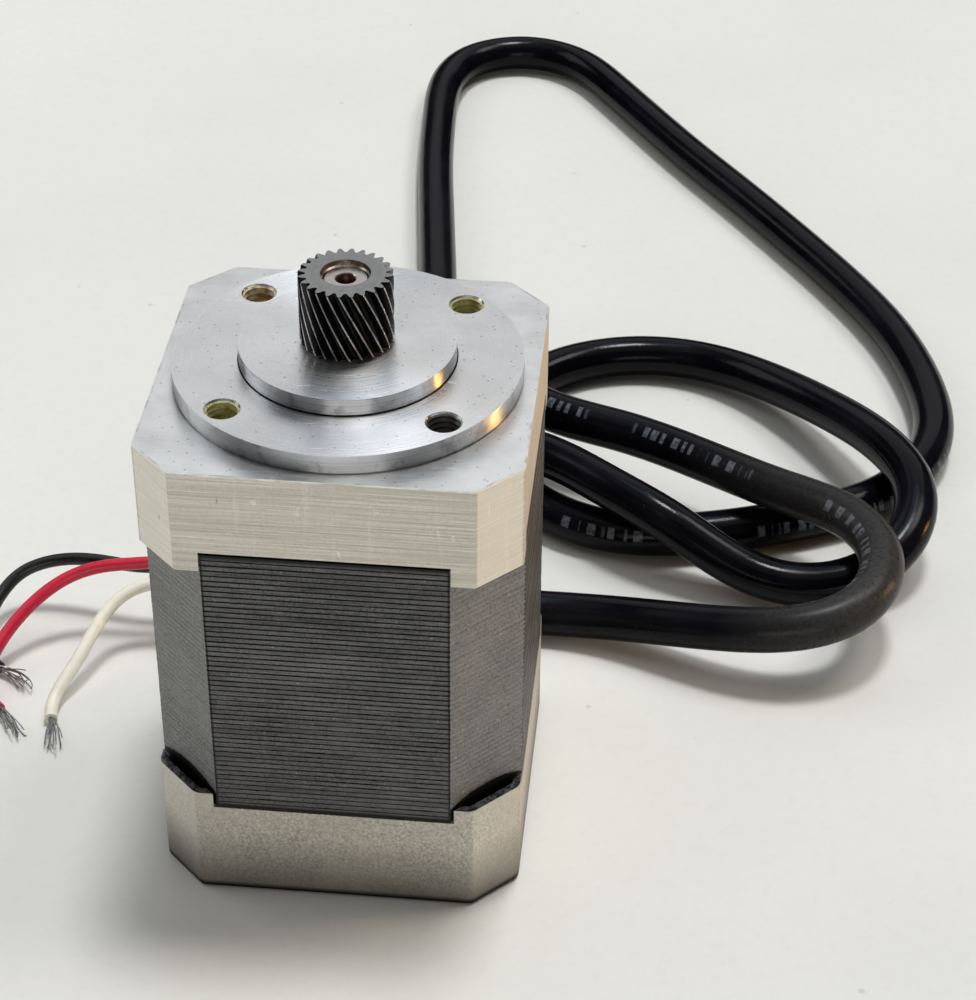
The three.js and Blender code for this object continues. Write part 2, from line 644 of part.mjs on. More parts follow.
place('cable_grommet', grommet(), 'rubber');
place('cable_jacket', tube(CABLE_ROUTE, CABLE_R, 8, CABLE_ROUTE.length + 1), 'jacket');
Object.entries(LEAD_ROUTES).forEach(([colour, route]) => {
  place(`lead_${colour}`, tube(route, LEAD_R, 8, route.length + 1), colour);
  place(`strands_${colour}`, tube(STRAND_ROUTES[colour], CORE_R, 8, 3), 'tinned');
});

export default motor;
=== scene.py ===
"""A stepper motor with a helical pinion, its free lead lying in turns behind it."""

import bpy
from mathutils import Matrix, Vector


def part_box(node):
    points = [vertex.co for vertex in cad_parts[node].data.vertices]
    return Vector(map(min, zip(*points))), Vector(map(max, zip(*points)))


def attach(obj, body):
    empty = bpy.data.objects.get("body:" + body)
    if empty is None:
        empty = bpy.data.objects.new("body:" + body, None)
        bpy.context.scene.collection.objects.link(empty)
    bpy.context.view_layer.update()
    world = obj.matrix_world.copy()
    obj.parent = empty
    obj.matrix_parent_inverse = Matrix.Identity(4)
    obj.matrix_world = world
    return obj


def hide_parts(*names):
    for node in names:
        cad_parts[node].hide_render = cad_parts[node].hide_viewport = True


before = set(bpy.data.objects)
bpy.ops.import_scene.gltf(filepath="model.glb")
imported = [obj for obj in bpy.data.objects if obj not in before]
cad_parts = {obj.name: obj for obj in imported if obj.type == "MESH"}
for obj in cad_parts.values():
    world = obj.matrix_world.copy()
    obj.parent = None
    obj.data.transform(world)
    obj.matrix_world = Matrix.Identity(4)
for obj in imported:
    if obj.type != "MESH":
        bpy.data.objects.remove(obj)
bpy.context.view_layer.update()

import math
import random

import bmesh
import bpy
from mathutils import Matrix, Vector

MM = 0.001
BODY = "motor_body"
ROTOR = "rotor"

# ---------- dimensions
# Millimetres, as in the part's source. The CAD parts' bounding boxes give the outer faces.

FRONT_LOW, FRONT_HIGH = (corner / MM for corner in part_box("front_cover"))
REAR_LOW, REAR_HIGH = (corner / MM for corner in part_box("rear_cover"))
STATOR_LOW, STATOR_HIGH = (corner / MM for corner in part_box("stator_core"))
PINION_LOW, PINION_HIGH = (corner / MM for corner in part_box("helical_pinion"))
SHAFT_LOW, SHAFT_HIGH = (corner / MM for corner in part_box("motor_shaft"))

HALF = FRONT_HIGH.x
GAP = 0.3
SMALL_BOSS_H = 2.1
LARGE_BOSS_H = 2.3
NOSE_Z = FRONT_HIGH.z
BOSS_Z = NOSE_Z - SMALL_BOSS_H
FLANGE_Z = BOSS_Z - LARGE_BOSS_H
LARGE_BOSS_R = 19.55
SMALL_BOSS_R = 12.1
FRONT_SEAT_Z = STATOR_HIGH.z + GAP
REAR_SEAT_Z = STATOR_LOW.z - GAP
FRONT_CORNER_LEG = 4.83
REAR_CORNER_LEG = 5.05
STATOR_CORNER_LEG = 7.6
EAR_WALL = 0.92

# A slanted corner lies on |x| + |y| = its line.
FRONT_LINE = 2 * HALF - FRONT_CORNER_LEG
REAR_LINE = 2 * HALF - REAR_CORNER_LEG
STACK_LINE = 2 * HALF - STATOR_CORNER_LEG
EAR_LINE = REAR_LINE - math.sqrt(2) * EAR_WALL

TAPPED_PITCH = 23.94
SCREW_PITCH = 31
SCREW_HOLE_R = 1.8
SCREW_HOLE_TOP = FLANGE_Z - 3.15
COUNTERBORE_R = 3.1
COUNTERBORE_DEPTH = 3.6
CAVITY_R = 18.3
BEARING_POCKET_R = 8.3
SHAFT_BORE_R = 4.2
CABLE_EXIT_Z = 6.2
CABLE_HOLE_R = 4.5
FRONT_CAVITY_TOP = 53.85
FRONT_POCKET_TOP = 59.25
REAR_CAVITY_FLOOR = 6.9
REAR_POCKET_FLOOR = 2.6

# Lays what stands on Z along the lead where it leaves the motor.
TO_CABLE_EXIT = Matrix.Translation((0, 0, CABLE_EXIT_Z)) @ Matrix.Rotation(-math.pi / 2, 4, "X")

PINION_TEETH = 24
PINION_TIP_R = PINION_HIGH.y
PINION_ROOT_R = 4.42
PINION_BORE_R = 2.55
PINION_HELIX = math.radians(23)

CABLE_R = 3.0
CABLE_REST_Z = CABLE_R + 0.1
LEAD_R = 0.85
STRAND_R = 0.075
PRINTED_STRETCHES = ((335, 405), (668, 765))  # along the jacket, where the photograph shows print

# Control points of the lead and its wires, the same as the part's own.
CABLE_FLAT_RUN = (
    (-1, 58), (-1, 74), (-2, 90), (-2, 106), (-4, 122), (-6, 138), (-8, 154), (-9, 169), (-10, 184),
    (-6, 194), (4.5, 198.5), (15, 194), (21, 184.5), (28, 173), (36, 160), (45, 147), (54, 133),
    (62, 120), (69, 107), (73, 94), (75, 81), (72, 69), (64, 60), (53, 55), (42, 51), (30, 49),
    (19, 53), (11, 63), (9, 76), (14, 89), (26, 96),
)
CABLE_ROUTE = [
    (0, 19, 6.2), (0, 27, 6.2), (0, 36, 5.2), (-1, 46, 3.6),
    *((x, y, CABLE_REST_Z) for x, y in CABLE_FLAT_RUN),
    (39, 96, 3.2), (50, 89, 4.2), (59, 78, 6.8), (66, 67, 9.5), (71, 56, 9.5), (69, 46, 6.6),
    (61, 40, 4), (51, 40, CABLE_REST_Z), (43, 43, 5.4), (36, 46, 9), (28, 51, 9.8), (19, 59, 9.6),
    (9, 62, 9.5), (-1, 59.5, 9.6), (-12, 58.5, 8.6), (-21, 64.5, 6.8), (-23.5, 74, 6.2), (-20, 83.5, 7),
    (-10, 88, 9), (1, 85, 9.6), (10, 76.5, 9.6), (18.5, 68.5, 9.5), (29, 66, 9.5), (40, 60, 9.5),
    (51, 52.5, 10), (61, 47, 11.2), (66, 37, 11.2), (62.5, 27, 10), (53, 23, 8.8), (42, 25.5, 6.8),
    (32, 29.5, 4.2), (24, 31, CABLE_REST_Z), (17, 31, CABLE_REST_Z),
]

LEAD_ROUTES = {
    "black": [
        (16.4, 32.2, 2.5), (9, 33.4, 5.4), (1, 33.8, 10.2), (-9, 33, 10.6), (-20, 31, 9.4),
        (-32, 28.4, 8), (-38, 30, 8), (-44, 31, 7.4), (-49.5, 30, 6), (-52, 27, 4.2),
        (-53.5, 22, 2.2), (-52, 17, 1), (-49.6, 14.8, 0.95),
    ],
    "red": [
        (16.4, 31, 4.2), (9, 31.4, 7.4), (1, 31.4, 11), (-9, 30.4, 12), (-20, 28.6, 11.4),
        (-31.5, 26.8, 10.5), (-38, 26.8, 9.8), (-43, 25.2, 8.4), (-47, 21.5, 6.2),
        (-49.8, 17.2, 3.8), (-51, 12.6, 1.9), (-49.8, 8.8, 1), (-47.6, 6.7, 0.95),
    ],
    "white": [
        (16.4, 29.8, 2.5), (9, 29.4, 5.6), (1, 28.8, 10.4), (-9, 27.6, 11.2), (-20, 26, 10.4),
        (-30, 25, 9.2), (-35, 23.6, 7.8), (-37.4, 18.6, 5.8), (-38.8, 14, 3.6),
        (-40.8, 10.4, 1.8), (-41.1, 7.6, 1), (-40.6, 5.6, 0.95),
    ],
}

STRAND_ROUTES = {
    "black": [(-49.1, 14.6, 0.9), (-47.6, 14.2, 0.6), (-46.2, 13.3, 0.5), (-45, 11.8, 0.5)],
    "red": [(-47.1, 6.4, 0.9), (-45.9, 5.2, 0.6), (-44.9, 3.8, 0.5), (-44.2, 2.2, 0.5)],
    "white": [(-40.5, 5.1, 0.9), (-40.2, 3.7, 0.7), (-39.8, 2, 0.5), (-39.4, 0.2, 0.5)],
}

# ---------- camera


def add_object(name, data):
    obj = bpy.data.objects.new(name, data)
    bpy.context.scene.collection.objects.link(obj)
    return obj


def make_camera():
    """The photograph's viewpoint, which looks at a point behind and right of the motor."""
    azimuth, elevation, roll = (math.radians(angle) for angle in (5.21, 36.039, 0.466))
    distance, target = 326.74, Vector((13.337, 25.739, 25.0))
    level = math.cos(elevation)
    back = Vector((math.sin(azimuth) * level, -math.cos(azimuth) * level, math.sin(elevation)))
    right = Vector((0, 0, 1)).cross(back).normalized()
    up = back.cross(right)
    data = bpy.data.cameras.new("camera")
    data.sensor_width = 36
    data.lens = 92.7
    data.clip_start = 0.01
    data.clip_end = 10
    camera = add_object("camera", data)
    turned = Matrix((right, up, back)).transposed() @ Matrix.Rotation(roll, 3, "Z")
    camera.matrix_world = Matrix.Translation((target + back * distance) * MM) @ turned.to_4x4()
    bpy.context.scene.camera = camera


# ---------- mesh helpers


def mesh_object(name, verts, faces):
    """A mesh object in millimetres."""
    mesh = bpy.data.meshes.new(name)
    mesh.from_pydata([tuple(v) for v in verts], [], faces)
    mesh.validate()
    return add_object(name, mesh)


def bands(first, rings, sides):
    """Quads between rings of points, ring after ring, the first point's index given."""
    return [
        (a + i, a + (i + 1) % sides, a + sides + (i + 1) % sides, a + sides + i)
        for a in range(first, first + (rings - 1) * sides, sides) for i in range(sides)
    ]


def face_outwards(obj, open_levels=()):
    """Turns the faces outwards, once the flat ends at open levels are filled."""
    work = bmesh.new()
    work.from_mesh(obj.data)
    for z in open_levels:
        rim = [e for e in work.edges if e.is_boundary and all(abs(v.co.z - z) < 1e-4 for v in e.verts)]
        bmesh.ops.triangle_fill(work, use_beauty=True, edges=rim)
    bmesh.ops.recalc_face_normals(work, faces=work.faces)
    work.to_mesh(obj.data)
    work.free()


def apply_modifiers(obj):
    graph = bpy.context.evaluated_depsgraph_get()
    mesh = bpy.data.meshes.new_from_object(obj.evaluated_get(graph))
    old = obj.data
    obj.modifiers.clear()
    obj.data = mesh
    bpy.data.meshes.remove(old)


def cut(obj, *tools, operation="DIFFERENCE"):
    for tool in tools:
        modifier = obj.modifiers.new("boolean", "BOOLEAN")
        modifier.operation = operation
        modifier.solver = "EXACT"
        modifier.object = tool
        bpy.context.view_layer.update()
        apply_modifiers(obj)
        bpy.data.objects.remove(tool)


def join(obj, *tools):
    cut(obj, *tools, operation="UNION")


def bevel(obj, width, segments=2):
    modifier = obj.modifiers.new("bevel", "BEVEL")
    modifier.width = width
    modifier.segments = segments
    modifier.limit_method = "ANGLE"
    modifier.angle_limit = math.radians(35)
    bpy.context.view_layer.update()
    apply_modifiers(obj)


def shade(obj, angle=32, weighted=True):
    """Smooth shading with sharp edges above an angle and flat faces kept flat."""
    obj.data.shade_smooth()
    obj.data.set_sharp_from_angle(angle=math.radians(angle))
    if weighted:
        modifier = obj.modifiers.new("weighted", "WEIGHTED_NORMAL")
        modifier.keep_sharp = True
        modifier.weight = 60


def prism(outline, z0, z1):
    count = len(outline)
    verts = [(x, y, z) for z in (z0, z1) for x, y in outline]
    ends = [tuple(range(count - 1, -1, -1)), tuple(range(count, 2 * count))]
    return mesh_object("prism", verts, bands(0, 2, count) + ends)


def lathe(profile, segments, at=(0, 0)):
    """A closed profile of (radius, height) points turned about Z. Points on the axis are poles."""
    verts, rings = [], []
    for r, z in profile:
        if r == 0:
            rings.append([len(verts)] * segments)
            verts.append((0, 0, z))
            continue
        rings.append(range(len(verts), len(verts) + segments))
        verts += circle(r, z, segments)
    faces = []
    on_axis = profile[0][0] == 0 and profile[-1][0] == 0
    for k in range(len(profile) - (1 if on_axis else 0)):
        low, high = rings[k], rings[(k + 1) % len(profile)]
        for i in range(segments):
            j = (i + 1) % segments
            corners = tuple(dict.fromkeys((low[i], low[j], high[j], high[i])))
            if len(corners) > 2:
                faces.append(corners)
    obj = mesh_object("lathe", verts, faces)
    face_outwards(obj)
    obj.data.transform(Matrix.Translation((*at, 0)))
    return obj


def cylinder(r, z0, z1, segments=64, at=(0, 0)):
    return lathe([(0, z0), (r, z0), (r, z1), (0, z1)], segments, at)


def ring(r_in, r_out, z0, z1, segments):
    return lathe([(r_in, z0), (r_out, z0), (r_out, z1), (r_in, z1)], segments)


def polar(r, angle):
    return r * math.cos(angle), r * math.sin(angle)


def circle(r, z, count):
    return [(*polar(r, 2 * math.pi * i / count), z) for i in range(count)]


def corner_cut_square(half, leg):
    near = half - leg
    return [
        (near, -half), (half, -near), (half, near), (near, half),
        (-near, half), (-half, near), (-half, -near), (-near, -half),
    ]


def square_to_line(half, line):
    """A corner-cut square whose slanted sides lie on |x| + |y| = line."""
    return corner_cut_square(half, 2 * half - line)


def square_corners(pitch):
    a = pitch / 2
    return [(a, a), (-a, a), (-a, -a), (a, -a)]


def spline(route, per_span=10):
    """Points along a uniform cubic B-spline that starts and ends on its end points."""
    def shoulder(t):
        return (3 * t ** 3 - 6 * t ** 2 + 4) / 6

    points = [Vector(p) for p in route]
    points = [points[0]] * 2 + points + [points[-1]] * 2
    line = []
    for i in range(len(points) - 3):
        for k in range(per_span):
            u = k / per_span
            v = 1 - u
            weights = (v ** 3 / 6, shoulder(u), shoulder(v), u ** 3 / 6)
            line.append(sum((points[i + n] * w for n, w in enumerate(weights)), Vector()))
    line.append(points[-1].copy())
    return line


def spread(line, step):
    """The same line with points an even step apart."""
    out = [line[0]]
    left = step
    for a, b in zip(line, line[1:]):
        length = (b - a).length
        at = 0
        while length - at >= left:
            at += left
            out.append(a.lerp(b, at / length))
            left = step
        left -= length - at
    if (out[-1] - line[-1]).length > step * 0.4:
        out.append(line[-1])
    else:
        out[-1] = line[-1]
    return out


def tangent_at(line, i):
    return (line[min(i + 1, len(line) - 1)] - line[max(i - 1, 0)]).normalized()


def tube_mesh(line, radius, sides):
    """A closed tube along a line, with a UV map of millimetres along and turns round."""
    side = tangent_at(line, 0).orthogonal().normalized()
    verts, along, walked = [], [], 0
    for i, point in enumerate(line):
        tangent = tangent_at(line, i)
        side = (side - tangent * side.dot(tangent)).normalized()
        other = tangent.cross(side)
        walked += (point - line[i - 1]).length if i else 0
        along.append(walked)
        for k in range(sides):
            angle = 2 * math.pi * k / sides
            verts.append(point + radius * (math.cos(angle) * side + math.sin(angle) * other))
    last = (len(line) - 1) * sides
    ends = [tuple(range(sides - 1, -1, -1)), tuple(range(last, last + sides))]
    obj = mesh_object("tube", verts, bands(0, len(line), sides) + ends)
    layer = obj.data.uv_layers.new(name="along")
    for polygon in obj.data.polygons[:-2]:
        i, k = divmod(polygon.index, sides)
        corners = ((along[i], k), (along[i], k + 1), (along[i + 1], k + 1), (along[i + 1], k))
        for loop, (distance, turn) in zip(polygon.loop_indices, corners):
            layer.data[loop].uv = (distance, turn / sides)
    return obj


def joined(objects, name):
    """One object from several, none of which overlap in a way that matters."""
    work = bmesh.new()
    for obj in objects:
        work.from_mesh(obj.data)
        bpy.data.objects.remove(obj)
    mesh = bpy.data.meshes.new(name)
    work.to_mesh(mesh)
    work.free()
    return add_object(name, mesh)


def finish_piece(obj, name, body, slot, replaced, materials, choose=None):
    """Scales a piece to metres, paints it, hangs it under its body and hides the CAD parts it replaces.

    With several materials, choose gives the one for a face from its centre and normal in millimetres.
    """
    obj.name = name
    obj.data.name = name
    obj.data.materials.clear()
    for item in materials:
        obj.data.materials.append(item)
    if choose:
        faces = obj.data.polygons
        faces.foreach_set("material_index", [choose(face.center, face.normal) for face in faces])
    obj.data.transform(Matrix.Scale(MM, 4))
    obj.data.update()
    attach(obj, body)
    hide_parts(*replaced)


# ---------- material helpers


def scaled(colour, by):
    return tuple(part * by for part in colour)


def grey(level):
    return level, level, level


class Nodes:
    """A short way to write a node tree."""

    def __init__(self, tree):
        self.tree = tree

    def put(self, entry, value):
        if isinstance(value, bpy.types.NodeSocket):
            self.tree.links.new(value, entry)
        else:
            entry.default_value = (*value, 1.0) if entry.type == "RGBA" else value

    def add(self, kind, inputs=(), **settings):
        node = self.tree.nodes.new("ShaderNode" + kind)
        for key, value in settings.items():
            setattr(node, key, value)
        for key, value in dict(inputs).items():
            self.put(node.inputs[key], value)
        return node

    def axes(self, vector):
        node = self.add("SeparateXYZ", {"Vector": vector})
        return node.outputs["X"], node.outputs["Y"], node.outputs["Z"]

    def span(self, value, low, high, to_low=0.0, to_high=1.0):
        inputs = {"Value": value, "From Min": low, "From Max": high, "To Min": to_low, "To Max": to_high}
        return self.add("MapRange", inputs, clamp=True).outputs["Result"]

    def math(self, operation, a, b=0.0):
        return self.add("Math", {0: a, 1: b}, operation=operation).outputs[0]

    def times(self, value, *others):
        for other in others:
            value = self.math("MULTIPLY", value, other)
        return value

    def plus(self, a, b):
        return self.math("ADD", a, b)

    def minus(self, a, b):
        return self.math("SUBTRACT", a, b)

    def mix(self, factor, a, b):
        return self.add("Mix", {0: factor, 6: a, 7: b}, data_type="RGBA").outputs[2]

    def blend(self, value, low, high, colour_low, colour_high):
        return self.mix(self.span(value, low, high), colour_low, colour_high)

    def layers(self, base, *coats):
        """Coats over a base: (value, from, to, strength, colour), or a ready (mask, strength, colour)."""
        for value, *ends, strength, colour in coats:
            base = self.mix(self.span(value, *(ends or (0, 1)), 0, strength), base, colour)
        return base


class Paint(Nodes):
    """One material's nodes. Coordinates are in millimetres."""

    def __init__(self, name, **sockets):
        self.material = bpy.data.materials.new(name)
        self.material.use_nodes = True
        super().__init__(self.material.node_tree)
        self.shader = self.tree.nodes["Principled BSDF"]
        self.object = self.add("TexCoord").outputs["Object"]
        self.place = self.coords()
        self.x, self.y, self.z = self.axes(self.place)
        self.set(**sockets)

    def set(self, **sockets):
        for socket, value in sockets.items():
            self.put(self.shader.inputs[socket.replace("_", " ")], value)

    def finish(self, base, rough=None, height=None, depth=0, **sockets):
        """The finished material, its roughness an input or (value, low, high), its bump a height."""
        self.set(Base_Color=base, **sockets)
        if isinstance(rough, tuple):
            value, low, high = rough
            rough = self.span(value, 0.3, 0.7, low, high)
        if rough is not None:
            self.set(Roughness=rough)
        if height is not None:
            self.set(Normal=self.bump(height, depth))
        return self.material

    def coords(self, scale=(1, 1, 1), turn=0):
        """The piece's own coordinates, stretched and turned about Z."""
        inputs = {"Vector": self.object, "Scale": scaled(scale, 1 / MM)}
        inputs["Rotation"] = (0, 0, math.radians(turn))
        return self.add("Mapping", inputs).outputs["Vector"]

    def noise(self, scale, detail=4.0, rough=0.55, at=None):
        inputs = {"Scale": scale, "Detail": detail, "Roughness": rough}
        inputs["Vector"] = self.place if at is None else at
        return self.add("TexNoise", inputs).outputs["Fac"]

    def streaks(self, scale, detail=5.0, rough=0.7, turn=0):
        """Noise stretched by a scale for each axis."""
        return self.noise(1.0, detail, rough, self.coords(scale, turn))

    def line_noise(self, value, scale, detail=4.0):
        inputs = {"W": value, "Scale": scale, "Detail": detail}
        return self.add("TexNoise", inputs, noise_dimensions="1D").outputs["Fac"]

    def spots(self, scale, inner, outer, at=None):
        """1 inside scattered spots, 0 elsewhere."""
        inputs = {"Vector": self.place if at is None else at, "Scale": scale}
        distance = self.add("TexVoronoi", inputs).outputs["Distance"]
        return self.span(distance, outer, inner)

    def between(self, value, low, rise, fall, high):
        """1 from rise to fall, fading to 0 at low and at high."""
        return self.times(self.span(value, low, rise), self.span(value, high, fall))

    def radius(self):
        squares = self.plus(self.math("POWER", self.x, 2), self.math("POWER", self.y, 2))
        return self.math("SQRT", squares)

    def sizes(self):
        return self.math("ABSOLUTE", self.x), self.math("ABSOLUTE", self.y)

    def chamfer(self, line):
        """1 on a slanted corner face where |x| + |y| = line, 0 on the flat sides."""
        slanted = self.span(self.plus(*self.sizes()), line - 0.25, line - 0.1)
        return self.times(slanted, self.span(self.math("MAXIMUM", *self.sizes()), HALF - 0.1, HALF - 0.25))

    def rim(self, line, width):
        """1 within a width of a corner-cut square's outline, 0 inside it."""
        flat = self.minus(self.math("MAXIMUM", *self.sizes()), HALF)
        slanted = self.times(self.minus(self.plus(*self.sizes()), line), math.sqrt(0.5))
        return self.span(self.math("MAXIMUM", flat, slanted), -width, -0.5 * width)

    def scratches(self, turns=(20, 75, 140), scale=0.16):
        """Sparse hair-line scratches in a few directions."""
        most = 0.0
        for turn in turns:
            most = self.math("MAXIMUM", self.streaks((scale, scale * 14, scale), turn=turn), most)
        return self.span(most, 0.64, 0.7)

    def bump(self, height, depth, **under):
        inputs = {"Height": height, "Strength": 1.0, "Distance": depth * MM, **under}
        return self.add("Bump", inputs).outputs["Normal"]

    def round_tangent(self):
        return self.add("Tangent", direction_type="RADIAL", axis="Z").outputs["Tangent"]


# ---------- materials


def turned_aluminium():
    paint = Paint("turned_aluminium", Metallic=1.0, Anisotropic=0.75, Anisotropic_Rotation=0.25)
    rings = paint.line_noise(paint.radius(), 7.0)
    marks = paint.scratches()
    base = paint.layers(
        paint.blend(paint.noise(0.12), 0.35, 0.65, (0.74, 0.745, 0.75), (0.86, 0.865, 0.87)),
        (rings, 0.3, 0.7, 0.2, (0.9, 0.905, 0.91)),
        (paint.spots(0.9, 0.08, 0.15), 0.6, (0.25, 0.25, 0.24)),
        (paint.spots(1.1, 0.08, 0.15, paint.coords(turn=30)), 0.7, grey(0.99)),
        (marks, 0.5, grey(0.9)),
    )
    rough = paint.span(paint.plus(rings, paint.times(marks, 0.5)), 0.3, 1.0, 0.26, 0.42)
    normal = paint.bump(paint.plus(marks, paint.noise(2.5, 3.0)), 0.006, Normal=paint.bump(rings, 0.003))
    return paint.finish(base, rough, Normal=normal, Tangent=paint.round_tangent())


def flange_aluminium():
    paint = Paint("flange_aluminium", Metallic=1.0)
    fine = paint.streaks((0.35, 3.2, 1), 5.0, 0.65, turn=12)
    marks = paint.scratches((5, 50, 110), 0.2)
    burr = paint.times(paint.rim(FRONT_LINE, 0.3), paint.span(paint.noise(0.35, 5.0, 0.6), 0.5, 0.62))
    base = paint.layers(
        paint.blend(paint.noise(0.18), 0.35, 0.65, (0.68, 0.68, 0.67), (0.83, 0.83, 0.82)),
        (fine, 0.4, 0.7, 0.3, grey(0.92)),
        (paint.spots(0.9, 0.08, 0.15), 0.55, (0.25, 0.24, 0.22)),
        (marks, 0.45, grey(0.97)),
        (burr, 0.5, (0.3, 0.29, 0.27)),
    )
    return paint.finish(base, paint.span(fine, 0.3, 0.8, 0.28, 0.42), paint.plus(fine, marks), 0.008)


def boss_wall():
    paint = Paint("boss_wall", Metallic=1.0, Anisotropic=1.0, Anisotropic_Rotation=0.25)
    rings = paint.line_noise(paint.z, 5.0)
    stains = paint.noise(0.5)
    base = paint.layers(
        paint.blend(rings, 0.35, 0.65, (0.5, 0.52, 0.55), (0.68, 0.7, 0.72)),
        (stains, 0.55, 0.7, 0.6, (0.2, 0.2, 0.21)),
    )
    return paint.finish(base, (stains, 0.27, 0.33), rings, 0.002, Tangent=paint.round_tangent())


def milled_side():
    """Sawn and milled plate edges: streaks along the edge, chatter across it, a painted highlight along the
    top edge and painted light on the slanted corners.
    """
    paint = Paint("milled_side", Metallic=0.85)
    lines = paint.streaks((0.06, 0.06, 6.0), 6.0, 0.75)
    chatter = paint.streaks((0.55, 0.55, 0.05), 3.0, 0.55)
    grain = paint.noise(2.8, 4.0, 0.7)
    ragged = paint.span(paint.noise(0.4, 5.0, 0.6), 0.35, 0.6)
    # painted highlight: a bright line along the top edge of the sides
    burr = paint.times(paint.span(paint.z, FLANGE_Z - 0.28, FLANGE_Z - 0.12), ragged)
    nicks = paint.spots(0.55, 0.03, 0.08, paint.coords((1, 1, 0.35)))
    base = paint.layers(
        paint.blend(lines, 0.36, 0.64, (0.46, 0.435, 0.375), (0.78, 0.75, 0.68)),
        (paint.noise(0.15, 3.0), 0.35, 0.7, 0.35, (0.6, 0.56, 0.48)),
        (chatter, 0.58, 0.75, 0.4, (0.85, 0.83, 0.77)),
        (grain, 0.5, 0.7, 0.35, (0.38, 0.36, 0.32)),
        # painted light: the slanted corners lighter than the flat sides
        (paint.chamfer(FRONT_LINE), 0.5, (0.97, 0.94, 0.86)),
        (paint.scratches((0, 60), 0.25), 0.6, (0.98, 0.96, 0.92)),
        (nicks, 0.6, (0.2, 0.19, 0.17)),
        # the painted highlight along the top edge
        (burr, 0.7, (0.99, 0.98, 0.94)),
    )
    height = paint.plus(lines, paint.times(grain, 0.4))
    return paint.finish(base, (lines, 0.6, 0.44), height, 0.02)


def tapped_hole():
    """Two of the holes are yellow-green inside and one is brown, blotched darker; the fourth is painted dark
    as shade.
    """
    paint = Paint("tapped_hole", Roughness=0.35)
    blotch = paint.noise(0.9)
    # painted shade: the front-right hole's inside is dark
    hole_painted_shade = paint.times(paint.span(paint.x, 0, 1), paint.span(paint.y, 0, -1))
    brown_hole = paint.times(paint.span(paint.x, 0, -1), paint.span(paint.y, 0, 1))
    yellow_green = paint.blend(blotch, 0.35, 0.6, (0.36, 0.33, 0.07), (0.72, 0.7, 0.4))
    brown = paint.blend(blotch, 0.4, 0.6, (0.45, 0.3, 0.1), (0.9, 0.82, 0.62))
    base = paint.layers(
        paint.mix(brown_hole, yellow_green, brown),
        (blotch, 0.62, 0.7, 1, (0.12, 0.09, 0.05)),
        # painted shade inside the front-right hole
        (hole_painted_shade, 1, (0.2, 0.185, 0.17)),
    )
    metallic = paint.span(hole_painted_shade, 0, 1, 0.2, 0.95)
    return paint.finish(base, height=blotch, depth=0.03, Metallic=metallic)


def cast_aluminium():
    """Sand-grey casting with painted shade: darker low down and black along its foot as a painted contact
    shadow; its slanted corners are painted lighter.
    """
    paint = Paint("cast_aluminium", Metallic=0.75)
    grain = paint.noise(3.2, 4.0, 0.7)
    coarse = paint.noise(1.1, 4.0, 0.6)
    broad = paint.noise(0.16, 3.0)
    base = paint.layers(
        paint.blend(grain, 0.35, 0.65, (0.36, 0.34, 0.3), (0.78, 0.75, 0.68)),
        (coarse, 0.55, 0.7, 0.35, (0.86, 0.83, 0.76)),
        (broad, 0.35, 0.7, 0.45, (0.58, 0.54, 0.47)),
        # painted light: the slanted corners lighter than the flat sides
        (paint.chamfer(REAR_LINE), 0.3, (0.92, 0.89, 0.81)),
        (paint.spots(0.9, 0.06, 0.13), 0.4, (0.18, 0.17, 0.15)),
        # painted shade: darker towards the bottom
        (paint.plus(paint.z, paint.times(broad, 3.0)), 10.5, 0.5, 1, (0.13, 0.122, 0.105)),
        # painted contact shadow: black along the foot
        (paint.z, 1.2, 0.6, 1, grey(0.006)),
    )
    height = paint.plus(grain, paint.times(coarse, 0.8))
    return paint.finish(base, (grain, 0.5, 0.72), height, 0.06)


def sheet_edges(name, dark, light, metallic, roughness):
    """Cut edges of stacked sheets: the paint with its colour, roughness, and height and depth of bump."""
    paint = Paint(name, Metallic=metallic)
    streak = paint.streaks((0.12, 0.12, 3.0))
    grain = paint.noise(4.0, 3.0, 0.6)
    pale = paint.spots(0.8, 0.04, 0.09, paint.coords((1, 1, 0.6), 20))
    blue = paint.spots(0.42, 0.04, 0.12, paint.coords((0.5, 0.5, 1.2)))
    base = paint.layers(
        paint.blend(streak, 0.35, 0.65, dark, light),
        (grain, 0.45, 0.65, 0.6, scaled(dark, 0.4)),
        (paint.noise(0.12, 3.0), 0.4, 0.75, 0.3, scaled(light, 1.35)),
        (pale, 0.5, scaled(light, 2.6)),
        (blue, 0.6, (0.03, 0.03, 0.1)),
    )
    height = paint.plus(streak, paint.times(grain, 0.5))
    return paint, base, ((grain, roughness - 0.08, roughness + 0.1), height, 0.015)


def rotor_sheets():
    paint, base, surface = sheet_edges("rotor_sheets", (0.1, 0.1, 0.105), (0.2, 0.2, 0.21), 0.9, 0.35)
    return paint.finish(base, *surface)


def stator_sheets():
    """The stack's flat sides, with painted shade along all four edges where the covers and corners meet
    them.
    """
    paint, base, surface = sheet_edges("stator_sheets", grey(0.06), (0.17, 0.17, 0.172), 0.5, 0.5)
    # painted shade: black bands along the bottom, top and both side edges
    from_low = paint.span(paint.z, STATOR_LOW.z + 0.2, STATOR_LOW.z + 0.55)
    from_high = paint.span(paint.z, STATOR_HIGH.z - 0.2, STATOR_HIGH.z - 0.75)
    flat_half = STACK_LINE - HALF
    beside = paint.math("MINIMUM", *paint.sizes())
    from_edge = paint.span(beside, flat_half - 0.28, flat_half - 0.16, 1, 0.12)
    lit = paint.times(from_low, from_high, from_edge)
    return paint.finish(paint.mix(lit, grey(0.004), base), *surface)


